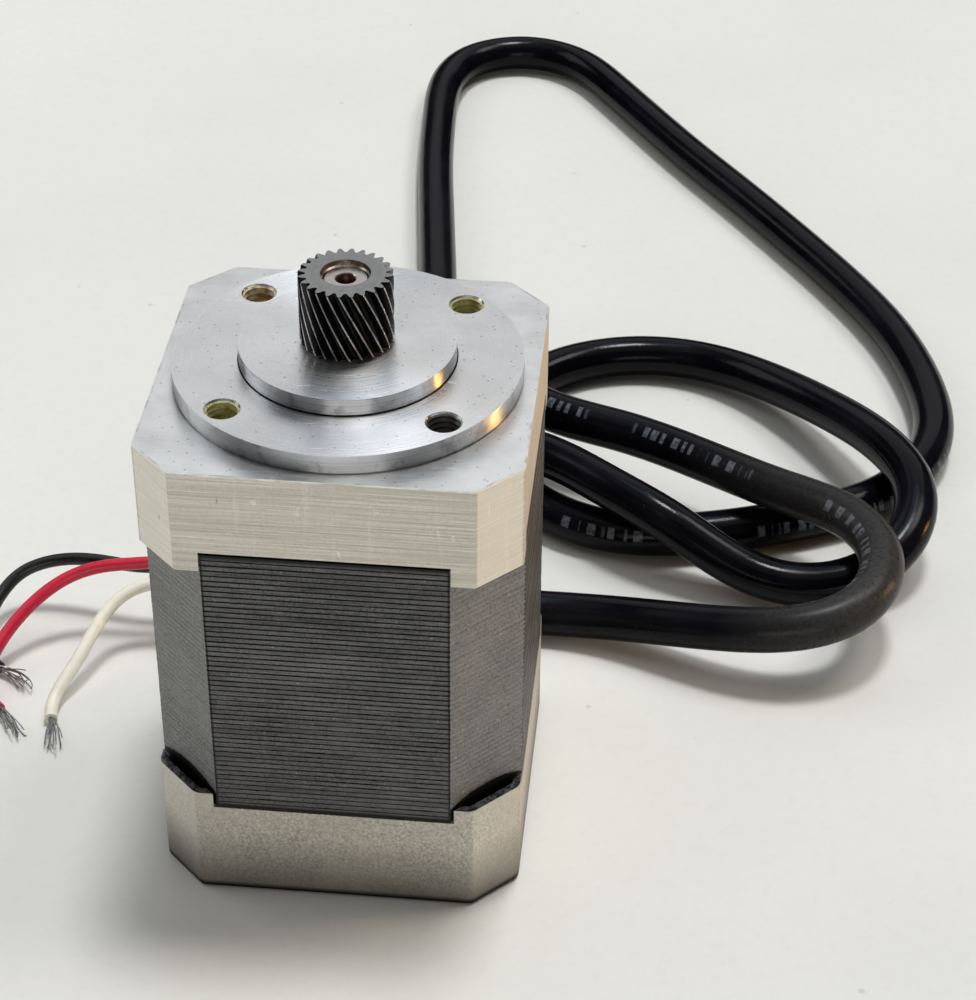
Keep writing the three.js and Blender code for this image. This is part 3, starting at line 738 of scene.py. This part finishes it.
def stator_corners():
    """The stack's slanted corners, painted lighter than the flat sides, and black where they go down into
    the cover: painted shade from the cover's wall, with dirt.
    """
    # painted light: the same sheets as the flat sides in lighter colours
    paint, base, surface = sheet_edges("stator_corners", (0.2, 0.2, 0.198), (0.28, 0.28, 0.278), 0.6, 0.52)
    # painted shade and dirt: black below a curved line near the cover
    drop = paint.times(paint.math("POWER", paint.minus(*paint.sizes()), 2), 0.022)
    level = paint.minus(paint.plus(paint.z, drop), paint.times(paint.noise(1.6), 0.5))
    clear_of_shade_and_dirt = paint.span(level, REAR_HIGH.z + 0.95, REAR_HIGH.z + 1.2)
    return paint.finish(paint.mix(clear_of_shade_and_dirt, grey(0.003), base), *surface)


def lamination_joint():
    """The grooves between the sheets, smeared over in places, more so low down."""
    paint = Paint("lamination_joint", Roughness=0.8)
    lift = paint.span(paint.z, STATOR_LOW.z, STATOR_HIGH.z - 8, 0.16, -0.06)
    smeared = paint.plus(paint.streaks(grey(0.5)), lift)
    return paint.finish(paint.blend(smeared, 0.52, 0.64, grey(0.005), grey(0.07)))


def pinion_flank():
    """Blackened teeth, worn bright along their tips."""
    paint = Paint("pinion_flank", Metallic=0.6, Specular_IOR_Level=0.15)
    haze = paint.noise(1.2, at=paint.coords((1, 1, 0.25)))
    tip = paint.span(paint.radius(), PINION_TIP_R - 0.05, PINION_TIP_R - 0.02)
    base = paint.layers(
        paint.blend(haze, 0.35, 0.7, (0.005, 0.005, 0.006), (0.018, 0.018, 0.02)),
        (paint.times(tip, paint.span(haze, 0.35, 0.6, 0.3, 1.0)), 1, (0.48, 0.48, 0.49)),
    )
    return paint.finish(base, (haze, 0.22, 0.38), haze, 0.01)


def pinion_face():
    paint = Paint("pinion_face", Metallic=0.9, Roughness=0.42)
    rings = paint.line_noise(paint.radius(), 9.0)
    base = paint.layers(
        paint.blend(rings, 0.3, 0.7, (0.22, 0.22, 0.215), (0.34, 0.34, 0.335)),
        (paint.noise(1.5), 0.5, 0.75, 0.4, (0.16, 0.155, 0.15)),
    )
    return paint.finish(base, height=rings, depth=0.006)


def ground_steel():
    paint = Paint("ground_steel", Metallic=1.0)
    tint = (0.62, 0.575, 0.55)
    rings = paint.line_noise(paint.radius(), 8.0)
    haze = paint.noise(1.2)
    base = paint.layers(
        paint.blend(rings, 0.3, 0.7, scaled(tint, 0.72), tint), (haze, 0.6, 0.75, 0.2, (0.3, 0.2, 0.14)),
    )
    return paint.finish(base, (haze, 0.2, 0.34), rings, 0.005)


def mottled(
    name, dark, light, rough, depth=0, scale=0.9, detail=4.0, grain=0.55, span=(0.35, 0.65), metallic=0.0,
):
    """One colour mottled with another, and the roughness with it where that is a pair."""
    paint = Paint(name, Metallic=metallic)
    haze = paint.noise(scale, detail, grain)
    if isinstance(rough, tuple):
        rough = (haze, *rough)
    return paint.finish(paint.blend(haze, *span, dark, light), rough, haze if depth else None, depth)


def plain_metal(name, tint, rough):
    return mottled(name, scaled(tint, 0.8), tint, (rough - 0.06, rough + 0.08), 0.006, metallic=1.0)


def moulded_plastic(name, tint, rough=0.5):
    return mottled(name, scaled(tint, 0.8), tint, (rough - 0.06, rough + 0.1), 0.015, 3.5, 3.0)


def copper_winding():
    paint = Paint("copper_winding", Metallic=0.85, Roughness=0.32, Coat_Weight=0.5)
    wire_pitch = 0.42
    turns = paint.math("SINE", paint.times(paint.z, 2 * math.pi / wire_pitch))
    base = paint.layers(
        paint.blend(turns, -1, 1, (0.26, 0.085, 0.03), (0.62, 0.27, 0.11)),
        (paint.noise(0.8, 3.0), 0.45, 0.7, 0.4, (0.36, 0.12, 0.04)),
    )
    return paint.finish(base, height=turns, depth=0.08)


def circuit_board():
    paint = Paint("circuit_board", Roughness=0.35, Coat_Weight=0.3)
    traces = paint.line_noise(paint.radius(), 0.9, 1.0)
    base = paint.blend(traces, 0.5, 0.53, (0.018, 0.11, 0.045), (0.03, 0.19, 0.075))
    return paint.finish(base, height=paint.noise(3.0, 2.0), depth=0.01)


def jacket_pvc():
    """Satin black with a faint haze, a paler last bend that is a painted sheen, and a row of plain ink marks
    that twists with it.
    """
    paint = Paint("jacket_pvc", Specular_IOR_Level=0.12)
    distance, turn, _ = paint.axes(paint.add("UVMap", uv_map="along").outputs["UV"])
    haze = paint.noise(0.09)
    fine = paint.noise(1.8, 4.0, 0.6)
    row_turn, twist_per_mm = 0.335, 0.001
    aside = paint.minus(turn, paint.times(distance, twist_per_mm))
    aside = paint.minus(paint.math("FRACT", paint.plus(aside, 0.5 - row_turn)), 0.5)
    stretches = [paint.between(distance, start - 5, start, end, end + 5) for start, end in PRINTED_STRETCHES]
    ink = paint.times(
        paint.span(paint.line_noise(distance, 0.85, 0.0), 0.5, 0.54),
        paint.span(paint.line_noise(distance, 0.06, 0.0), 0.42, 0.45),
        paint.span(paint.math("ABSOLUTE", aside), 0.046, 0.038),
        paint.math("MAXIMUM", *stretches),
        paint.span(fine, 0.35, 0.6, 0.25, 1.0),
    )
    # painted sheen: the last bend paler and rougher
    painted_sheen = paint.times(paint.between(distance, 705, 750, 755, 772), paint.span(fine, 0.3, 0.65, 0.5, 1.0))
    base = paint.layers(
        paint.blend(haze, 0.35, 0.7, (0.002, 0.002, 0.0035), (0.006, 0.006, 0.009)),
        (paint.spots(0.9, 0.035, 0.06), 0.25, grey(0.3)),
        (painted_sheen, 1, (0.05, 0.048, 0.046)),
        (ink, 0.4, (0.3, 0.33, 0.37)),
    )
    rough = paint.plus(paint.span(haze, 0.3, 0.7, 0.13, 0.24), paint.times(painted_sheen, 0.2))
    return paint.finish(base, rough, fine, 0.012)


def insulation(name, tint, dirt, rough=0.33):
    paint = Paint(name)
    fine = paint.noise(2.4, 3.0)
    base = paint.layers(tint, (paint.noise(0.35, 4.0, 0.6), 0.5, 0.78, 0.75, dirt))
    return paint.finish(base, (fine, rough - 0.06, rough + 0.1), fine, 0.02)


def pale_floor():
    """A painted bench top with faint mottling and a few specks."""
    paint = Paint("pale_floor", Roughness=0.6, Specular_IOR_Level=0.2)
    fine = paint.noise(0.5, 5.0, 0.7)
    base = paint.layers(
        paint.blend(paint.noise(0.012), 0.35, 0.65, (0.785, 0.78, 0.735), (0.825, 0.82, 0.775)),
        (fine, 0.5, 0.75, 0.25, (0.68, 0.67, 0.63)),
        (paint.spots(0.07, 0.02, 0.035), 0.4, (0.45, 0.43, 0.4)),
    )
    return paint.finish(base, height=fine, depth=0.02)


# ---------- motor body


def thread_cutter(at):
    """A tapped hole with its countersink, as one solid to cut away."""
    depth, pitch, crest, root, mouth = 7.4, 0.7, 1.7, 1.92, 2.03
    profile = [(0, BOSS_Z - depth)]
    z = BOSS_Z - depth
    while z < BOSS_Z - 0.3 - pitch:
        profile += [(crest, z + 0.06), (root, z + pitch * 0.45), (root, z + pitch * 0.6)]
        z += pitch
    profile += [(crest, z + 0.06), (1.86, BOSS_Z - 0.2), (mouth, BOSS_Z)]
    profile += [(mouth + 0.37, BOSS_Z + 0.5), (0, BOSS_Z + 0.5)]
    return lathe(profile, 48, at)


def front_cover():
    cover = prism(corner_cut_square(HALF, FRONT_CORNER_LEG), FRONT_LOW.z, FLANGE_Z)
    join(
        cover,
        cylinder(LARGE_BOSS_R, FLANGE_Z - 1, BOSS_Z, 192),
        cylinder(SMALL_BOSS_R, FLANGE_Z - 1, NOSE_Z, 144),
    )
    cut(
        cover,
        prism(square_to_line(HALF + 1, STACK_LINE + 0.12), FRONT_LOW.z - 1, FRONT_SEAT_Z),
        cylinder(CAVITY_R, FRONT_LOW.z - 1, FRONT_CAVITY_TOP, 96),
        cylinder(BEARING_POCKET_R, FRONT_CAVITY_TOP - 1, FRONT_POCKET_TOP, 64),
        cylinder(SHAFT_BORE_R, FRONT_POCKET_TOP - 1, NOSE_Z + 1, 48),
    )
    bevel(cover, 0.14)
    groove = 0.13
    for r, z, sides in ((LARGE_BOSS_R, FLANGE_Z, 192), (SMALL_BOSS_R, BOSS_Z, 144)):
        cut(cover, ring(r - groove, r + groove, z - 0.12, z + 0.16, sides))
    for at in square_corners(TAPPED_PITCH):
        cut(cover, thread_cutter(at))
    for at in square_corners(SCREW_PITCH):
        cut(cover, cylinder(SCREW_HOLE_R, FRONT_LOW.z - 1, SCREW_HOLE_TOP, 32, at))

    def choose(centre, normal):
        from_hole = min(math.hypot(centre.x - x, centre.y - y) for x, y in square_corners(TAPPED_PITCH))
        if from_hole < 2.35 and centre.z < BOSS_Z - 0.22:
            return 4
        if centre.z > FLANGE_Z + 0.01 and math.hypot(centre.x, centre.y) < LARGE_BOSS_R + 0.02:
            return 0 if normal.z > 0.6 else 2
        return 1 if normal.z > 0.6 and centre.z > FLANGE_Z - 0.3 else 3

    shade(cover)
    finish_piece(
        cover, "turned_front_cover", BODY, "machined_aluminium", ["front_cover"],
        [turned_aluminium(), flange_aluminium(), boss_wall(), milled_side(), tapped_hole()], choose,
    )


def rear_cover():
    """The casting, with a thin wall and a pocket round each slanted corner of the stack, the pocket painted
    black as shade.
    """
    above = REAR_HIGH.z + 5
    cover = prism(corner_cut_square(HALF, REAR_CORNER_LEG), REAR_LOW.z, above)
    bevel(cover, 0.6, 4)
    cut(cover, prism(corner_cut_square(HALF + 1, 1), REAR_HIGH.z, above + 1))
    pocket_z = REAR_SEAT_Z - 0.9
    pockets = prism(square_to_line(HALF - EAR_WALL, EAR_LINE), pocket_z, above)
    cut(pockets, prism(square_to_line(HALF + 1, STACK_LINE - GAP), 0, REAR_SEAT_Z))
    cut(
        cover,
        pockets,
        prism(square_to_line(HALF + 1, STACK_LINE + math.sqrt(2) * GAP), REAR_SEAT_Z, above),
        cylinder(CAVITY_R, REAR_CAVITY_FLOOR, above, 96),
        ring(BEARING_POCKET_R + 2, CAVITY_R - 1.7, REAR_POCKET_FLOOR, REAR_CAVITY_FLOOR + 1.1, 96),
        cylinder(BEARING_POCKET_R, REAR_POCKET_FLOOR, above, 64),
    )
    bevel(cover, 0.1)
    hole = cylinder(CABLE_HOLE_R, CAVITY_R - 2.8, HALF + 1, 48)
    hole.data.transform(TO_CABLE_EXIT)
    cut(cover, hole)
    for at in square_corners(SCREW_PITCH):
        cut(cover, cylinder(SCREW_HOLE_R, -1, above, 32, at))
        cut(cover, cylinder(COUNTERBORE_R, -1, COUNTERBORE_DEPTH, 48, at))

    def choose(centre, normal):
        across = abs(centre.x) + abs(centre.y)
        outside = max(abs(centre.x), abs(centre.y)) > HALF - 0.2 or across > REAR_LINE - 0.2
        if centre.z > REAR_HIGH.z - 0.12 and not outside:
            return 1
        if centre.z > pocket_z - 0.1 and across > STACK_LINE - 0.5 and not outside:
            return 2
        return 0

    ear_top = mottled(
        "ear_top", (0.03, 0.03, 0.032), (0.2, 0.2, 0.21), 0.35, 0.05, 1.1, grain=0.7, span=(0.42, 0.58),
        metallic=0.7,
    )
    # painted shade: the corner pockets' faces black
    pocket_painted_shade = mottled("pocket_painted_shade", grey(0.003), grey(0.012), 0.7, 0, 1.5, 3.0, span=(0.4, 0.7))
    shade(cover)
    finish_piece(
        cover, "cast_rear_cover", BODY, "cast_aluminium", ["rear_cover"],
        [cast_aluminium(), ear_top, pocket_painted_shade], choose,
    )


def stator_inner():
    """Bore, toothed pole shoes and winding slots, anticlockwise."""
    def at(r, degrees):
        return polar(r, math.radians(degrees))

    bore, root, shoe, slot, pitch, half_tooth = 13.0, 13.6, 14.6, 17.9, 7.2, 1.7
    body_edge = math.degrees(math.asin(2.5 / shoe))
    slot_edge = math.degrees(math.asin(2.5 / slot))
    points = []
    for pole in range(6):
        centre = 60 * pole
        for k in range(7):
            tooth = centre + (k - 3) * pitch
            points += [at(root, tooth - half_tooth)] if k else []
            points += [at(bore, tooth - half_tooth), at(bore, tooth + half_tooth)]
            points += [at(root, tooth + half_tooth)] if k < 6 else []
        edge = 3 * pitch + half_tooth
        points += [at(shoe, centre + edge), at(shoe, centre + body_edge)]
        for k in range(9):
            points.append(at(slot, centre + slot_edge + k / 8 * (60 - 2 * slot_edge)))
        points += [at(shoe, centre + 60 - body_edge), at(shoe, centre + 60 - edge)]
    return points


def stator_core():
    """A stack of sheets, each standing a little in or out, with a fine groove at each joint."""
    draw = random.Random(7)
    sheet = 0.7
    tall = STATOR_HIGH.z - STATOR_LOW.z
    count = round(tall / sheet)
    pitch = tall / count
    groove_w, groove_d = 0.2, 0.12
    levels = []
    for k in range(count):
        z = STATOR_LOW.z + k * pitch
        inset = draw.uniform(0.0, 0.045)
        levels.append((z + (groove_w / 2 if k else 0), inset))
        levels.append((z + pitch - (groove_w / 2 if k < count - 1 else 0), inset))
        if k < count - 1:
            levels += [(z + pitch + side * groove_w * 0.3, groove_d) for side in (-1, 1)]
    sides = 8
    verts = []
    for z, inset in levels:
        verts += [(x, y, z) for x, y in square_to_line(HALF - inset, STACK_LINE - 0.3 * inset)]
    joints = [
        k * sides + i
        for k in range(len(levels) - 1) if groove_d in (levels[k][1], levels[k + 1][1]) for i in range(sides)
    ]
    inner, start, ends = stator_inner(), len(verts), (STATOR_LOW.z, STATOR_HIGH.z)
    verts += [(x, y, z) for z in ends for x, y in inner]
    core = mesh_object("core", verts, bands(0, len(levels), sides) + bands(start, 2, len(inner)))
    face_outwards(core, ends)

    def choose(centre, normal):
        outside = abs(centre.x) + abs(centre.y) > STACK_LINE - 0.1
        return 1 if outside and abs(normal.x) > 0.3 and abs(normal.y) > 0.3 else 0

    finish_piece(
        core, "laminated_stator", BODY, "lamination_steel", ["stator_core"],
        [stator_sheets(), stator_corners(), lamination_joint()], choose,
    )
    for index in joints:
        polygon = core.data.polygons[index]
        if polygon.material_index == 0:
            polygon.material_index = 2


def through_screws():
    low, high = (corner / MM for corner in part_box("through_screw_1"))
    head_r, shank_r, seat = (high.x - low.x) / 2, 1.5, low.z + 3
    oxide = mottled(
        "black_oxide", (0.02, 0.02, 0.022), (0.075, 0.072, 0.07), (0.32, 0.5), 0.012, 1.4, span=(0.4, 0.7),
        metallic=0.8,
    )
    for i, (x, y) in enumerate(square_corners(SCREW_PITCH)):
        profile = [
            (0, low.z), (head_r - 0.35, low.z), (head_r - 0.12, low.z + 0.1), (head_r, low.z + 0.35),
            (head_r, seat - 0.1), (head_r - 0.1, seat), (shank_r, seat), (shank_r, high.z - 0.5),
            (shank_r - 0.45, high.z), (0, high.z),
        ]
        screw = lathe(profile, 48)
        cut(screw, cylinder(2.5 / math.sqrt(3), low.z - 1, low.z + 1.6, 6))
        screw.data.transform(Matrix.Translation((x, y, 0)) @ Matrix.Rotation(0.4 * i, 4, "Z"))
        shade(screw)
        finish_piece(
            screw, f"socket_screw_{i + 1}", BODY, "screw_steel", [f"through_screw_{i + 1}"], [oxide],
        )


# ---------- pinion and shaft


def pinion():
    """Curved-flank teeth swept round a left-hand helix, with chamfered ends."""
    pitch = 2 * math.pi / PINION_TEETH
    flank = 6
    rising = [(PINION_ROOT_R - 0.03, pitch * 0.44)]
    for k in range(flank + 1):
        t = k / flank
        half = pitch * (0.055 + 0.315 * (1 - t) ** 0.9)
        rising.append((PINION_ROOT_R + (PINION_TIP_R - PINION_ROOT_R) * t, half))
    outline = []
    for tooth in range(PINION_TEETH):
        outline += [(r, tooth * pitch - half) for r, half in rising]
        outline += [(r, tooth * pitch + half) for r, half in reversed(rising)]
    turn_per_mm = math.tan(PINION_HELIX) / ((PINION_TIP_R + PINION_ROOT_R) / 2)
    low, high, chamfer = PINION_LOW.z, PINION_HIGH.z, 0.12
    levels = [(low, chamfer), (low + chamfer, 0)]
    levels += [(low + chamfer + (high - low - 2 * chamfer) * k / 24, 0) for k in range(1, 24)]
    levels += [(high - chamfer, 0), (high, chamfer)]
    verts = []
    for z, inset in levels:
        for r, angle in outline:
            verts.append((*polar(min(r, PINION_TIP_R - inset), angle + turn_per_mm * (high - z)), z))
    faces = bands(0, len(levels), len(outline))
    bore_n = 96
    bore_levels = [(low, 0.1), (low + 0.1, 0), (high - 0.75, 0), (high - 0.6, 0.2), (high, 0.22)]
    faces += bands(len(verts), len(bore_levels), bore_n)
    for z, flare in bore_levels:
        verts += circle(PINION_BORE_R + flare, z, bore_n)
    gear = mesh_object("gear", verts, faces)
    face_outwards(gear, (low, high))

    def choose(centre, normal):
        if math.hypot(centre.x, centre.y) < PINION_BORE_R + 0.3 and abs(normal.z) < 0.9:
            return 2
        return 1 if abs(normal.z) > 0.6 else 0

    bore = mottled("pinion_bore", grey(0.1), (0.5, 0.36, 0.27), 0.3, span=(0.4, 0.6), metallic=0.9)
    shade(gear, 40, weighted=False)
    finish_piece(
        gear, "hobbed_pinion", ROTOR, "blackened_steel", ["helical_pinion"],
        [pinion_flank(), pinion_face(), bore], choose,
    )


def shaft():
    r = SHAFT_HIGH.x
    low, high = SHAFT_LOW.z, SHAFT_HIGH.z
    profile = [
        (0, low), (r - 0.25, low), (r, low + 0.25), (r, high - 0.22), (r - 0.2, high),
        (1.22, high), (1.1, high - 0.1), (0.72, high - 0.75), (0.7, high - 2.2), (0, high - 2.5),
    ]
    rod = lathe(profile, 96)
    shade(rod)

    def choose(centre, normal):
        return 1 if math.hypot(centre.x, centre.y) < 1.05 and centre.z > high - 3 else 0

    finish_piece(
        rod, "ground_shaft", ROTOR, "ground_steel", ["motor_shaft"],
        [ground_steel(), plain_metal("centre_hole", (0.16, 0.09, 0.06), 0.35)], choose,
    )


# ---------- lead and grommet


def tube_piece(line, radius, sides, name, slot, node, paint):
    tube = tube_mesh(line, radius, sides)
    shade(tube, 60, weighted=False)
    finish_piece(tube, name, BODY, slot, [node], [paint])
    return tube


def cable():
    line = spread(spline(CABLE_ROUTE), 1.5)
    paint = jacket_pvc()
    return tube_piece(line, CABLE_R, 28, "cable_jacket_tube", "jacket_pvc", "cable_jacket", paint), line


def strain_relief():
    """A moulded grommet with a flange and a ribbed, tapered neck."""
    bore, stem, flange, rib_r, rib_pitch, inner_end, outer_end = 3.3, 4.2, 5.4, 4.35, 1.15, 18.4, 27.5
    wall = HALF + GAP
    y = 22.7
    profile = [
        (bore, inner_end), (stem, inner_end), (stem, wall), (flange - 0.15, wall), (flange, wall + 0.15),
        (flange, y - 0.35), (flange - 0.2, y - 0.15), (rib_r + 0.25, y),
    ]
    for rib in range(4):
        r = rib_r - 0.12 * rib
        profile += [(r, y + 0.15), (r - 0.05, y + 0.8), (r - 0.4, y + 0.9), (r - 0.42, y + 1.05)]
        y += rib_pitch
    profile += [(3.9, y + 0.1), (3.85, outer_end - 0.1), (3.75, outer_end), (bore, outer_end)]
    grommet = lathe(profile, 64)
    grommet.data.transform(TO_CABLE_EXIT)
    shade(grommet)
    finish_piece(
        grommet, "strain_relief", BODY, "grommet_rubber", ["cable_grommet"],
        [moulded_plastic("grommet_rubber", (0.016, 0.016, 0.017), 0.6)],
    )
    return grommet


def wire(colour, paint):
    route = LEAD_ROUTES[colour]
    start = Vector(route[0]) + Vector((1.4, 0, 0))  # inside the jacket
    line = spread(spline([start] + route[1:]), 0.7)
    names = (f"wire_{colour}", f"{colour}_insulation", f"lead_{colour}")
    return tube_piece(line, LEAD_R, 16, *names, paint), line


def frayed_strands(colour, paint, seed):
    """Fine bare strands that leave the cut end together and spread out."""
    draw = random.Random(seed)

    def drift(down, up):
        return Vector((draw.uniform(-1, 1), draw.uniform(-1, 1), draw.uniform(down, up)))

    line = spline(LEAD_ROUTES[colour][-1:] + STRAND_ROUTES[colour], 4)
    count = len(line)
    tubes = []
    for k in range(13):
        ring_r = 0.16 if k < 4 else 0.36
        angle = 2.4 * k
        swing, curl = drift(-0.2, 1.3), drift(-0.5, 0.9)
        reach = draw.uniform(0.72, 1.0)
        points = []
        for i, point in enumerate(line[: max(4, int(count * reach))]):
            t = i / (count - 1)
            tangent = tangent_at(line, i)
            side = tangent.cross(Vector((0, 0, 1))).normalized()
            up = side.cross(tangent)
            round_core = ring_r * (math.cos(angle + 2 * t) * side + math.sin(angle + 2 * t) * up)
            loose = swing * 1.6 * t ** 2 + curl * 1.1 * math.sin(3.0 * t) * t
            at = point + round_core + loose
            at.z = max(at.z, 0.12)
            points.append(at)
        tubes.append(tube_mesh(points, STRAND_R, 6))
    bundle = joined(tubes, "strands")
    shade(bundle, 60, weighted=False)
    finish_piece(
        bundle, f"frayed_strands_{colour}", BODY, "tinned_copper", [f"strands_{colour}"], [paint],
    )
    return bundle


def wires():
    paints = {
        "black": insulation("black_insulation", (0.005, 0.006, 0.006), grey(0.02)),
        "red": insulation("red_insulation", (0.62, 0.012, 0.045), (0.42, 0.01, 0.035)),
        "white": insulation("white_insulation", (0.94, 0.9, 0.77), (0.72, 0.67, 0.5), 0.42),
    }
    bare = mottled(
        "tinned_copper", (0.2, 0.22, 0.22), (0.52, 0.54, 0.54), (0.28, 0.45), scale=2.2, metallic=1.0,
    )
    made = {}
    for seed, colour in enumerate(LEAD_ROUTES):
        tube, line = wire(colour, paints[colour])
        made[colour] = (tube, line, frayed_strands(colour, bare, 11 + seed))
    return made, paints


def declare_cords(jacket, jacket_line, made):
    [p * MM for p in jacket_line]
    for colour, (tube, line, strands) in made.items():
        [p * MM for p in line]


# ---------- CAD nodes that stay as they are


def paint_cad_nodes(wire_paints):
    def bearings(*parts):
        return [f"{side}_bearing_{part}" for side in ("front", "rear") for part in parts]

    bright = plain_metal("bearing_steel", (0.62, 0.62, 0.63), 0.16)
    plated = plain_metal("plated_steel", (0.45, 0.46, 0.48), 0.3)
    looks = [
        (moulded_plastic("insulator_plastic", grey(0.02)), ["front_insulator", "rear_insulator"]),
        (copper_winding(), [f"coil_{pole}" for pole in range(1, 7)]),
        (rotor_sheets(), ["rotor_cup_lower", "rotor_cup_upper"]),
        (bright, bearings("outer_ring", "inner_ring", "ball_cage")),
        (plated, bearings("upper_shield", "lower_shield") + ["wave_washer"]),
        (plain_metal("spacer_brass", (0.62, 0.46, 0.2), 0.3), ["front_spacer", "rear_spacer"]),
        (plain_metal("magnet", (0.3, 0.3, 0.32), 0.35), ["rotor_magnet"]),
        (circuit_board(), ["terminal_board"]),
    ]
    looks += [(paint, [f"inner_lead_{colour}"]) for colour, paint in wire_paints.items()]
    for paint, nodes in looks:
        for node in nodes:
            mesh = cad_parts[node].data
            mesh.materials.clear()
            mesh.materials.append(paint)


# ---------- bench and lights


def make_floor():
    reach = 3000
    corners = [(-reach, -reach, 0), (reach, -reach, 0), (reach, reach, 0), (-reach, reach, 0)]
    floor = mesh_object("bench", corners, [(0, 1, 2, 3)])
    floor.data.transform(Matrix.Scale(MM, 4))
    floor.data.materials.append(pale_floor())


def add_light(name, kind, place, aim, colour=(1, 1, 1), **settings):
    data = bpy.data.lights.new(name, kind)
    data.color = colour
    for key, value in settings.items():
        setattr(data, key, value)
    light = add_object(name, data)
    light.location = place
    light.rotation_euler = (Vector(aim) - Vector(place)).to_track_quat("-Z", "Y").to_euler()
    light.visible_camera = False


def card(name, place, aim, size, power, colour=(1, 1, 1), spread=180):
    """A flat rectangular lamp, metres and watts."""
    add_light(
        name, "AREA", place, aim, colour, shape="RECTANGLE", size=size[0], size_y=size[1], energy=power,
        spread=math.radians(spread),
    )


def distant(name, place, aim, width, strength, colour=(1, 1, 1)):
    """A lamp so far off that it lights the whole bench evenly, its width in degrees."""
    add_light(name, "SUN", place, aim, colour, angle=math.radians(width), energy=strength)


def soft_room():
    """A dim room, a little brighter overhead, with a pale backdrop where the bench ends."""
    world = bpy.data.worlds.new("soft_room")
    bpy.context.scene.world = world
    world.use_nodes = True
    nodes = Nodes(world.node_tree)
    _, _, up = nodes.axes(nodes.add("TexCoord").outputs["Generated"])
    room = nodes.blend(up, 0, 1, (0.02, 0.02, 0.022), (0.055, 0.058, 0.064))
    seen = nodes.add("LightPath").outputs["Is Camera Ray"]
    background = nodes.tree.nodes["Background"].inputs["Color"]
    nodes.put(background, nodes.mix(seen, room, (0.56, 0.57, 0.56)))


def make_lights():
    """A high key a little behind, a card for the turned faces to reflect, and weak fills."""
    motor = (0.0, 0.0, 0.03)
    distant("key", (0.14, 0.3, 1.4), motor, 11, 1.42)
    distant("right", (0.62, 0.36, 1.25), motor, 20, 0.7, (1, 0.98, 0.94))
    distant("top", (0.1, 0.1, 1.5), motor, 60, 0.32)
    card("back", (0.0, 1.18, 0.92), motor, (1.6, 0.8), 2.9)
    card("left", (-0.9, 0.3, 0.8), motor, (0.6, 0.6), 2.0)
    card("front", (0.15, -1.2, 0.35), motor, (1.0, 0.5), 3.4, (1, 0.95, 0.88))
    for x, power in ((0.09, 0.5), (-0.11, 0.35)):
        card("window", (x, 0.6, 1.2), motor, (0.04, 0.4), power, (0.4, 0.68, 1))
    card("lamp", (0.87, 0.23, 0.12), (0, 0, 0.065), (0.03, 0.03), 0.018, (1, 0.5, 0.1), 12)
    soft_room()
    bpy.context.scene.view_settings.view_transform = "Standard"


make_camera()
jacket, jacket_line = cable()
grommet = strain_relief()
lead_pieces, wire_paints = wires()
declare_cords(jacket, jacket_line, lead_pieces)
front_cover()
rear_cover()
stator_core()
through_screws()
pinion()
shaft()
paint_cad_nodes(wire_paints)
make_floor()
make_lights()

bpy.context.view_layer.update()
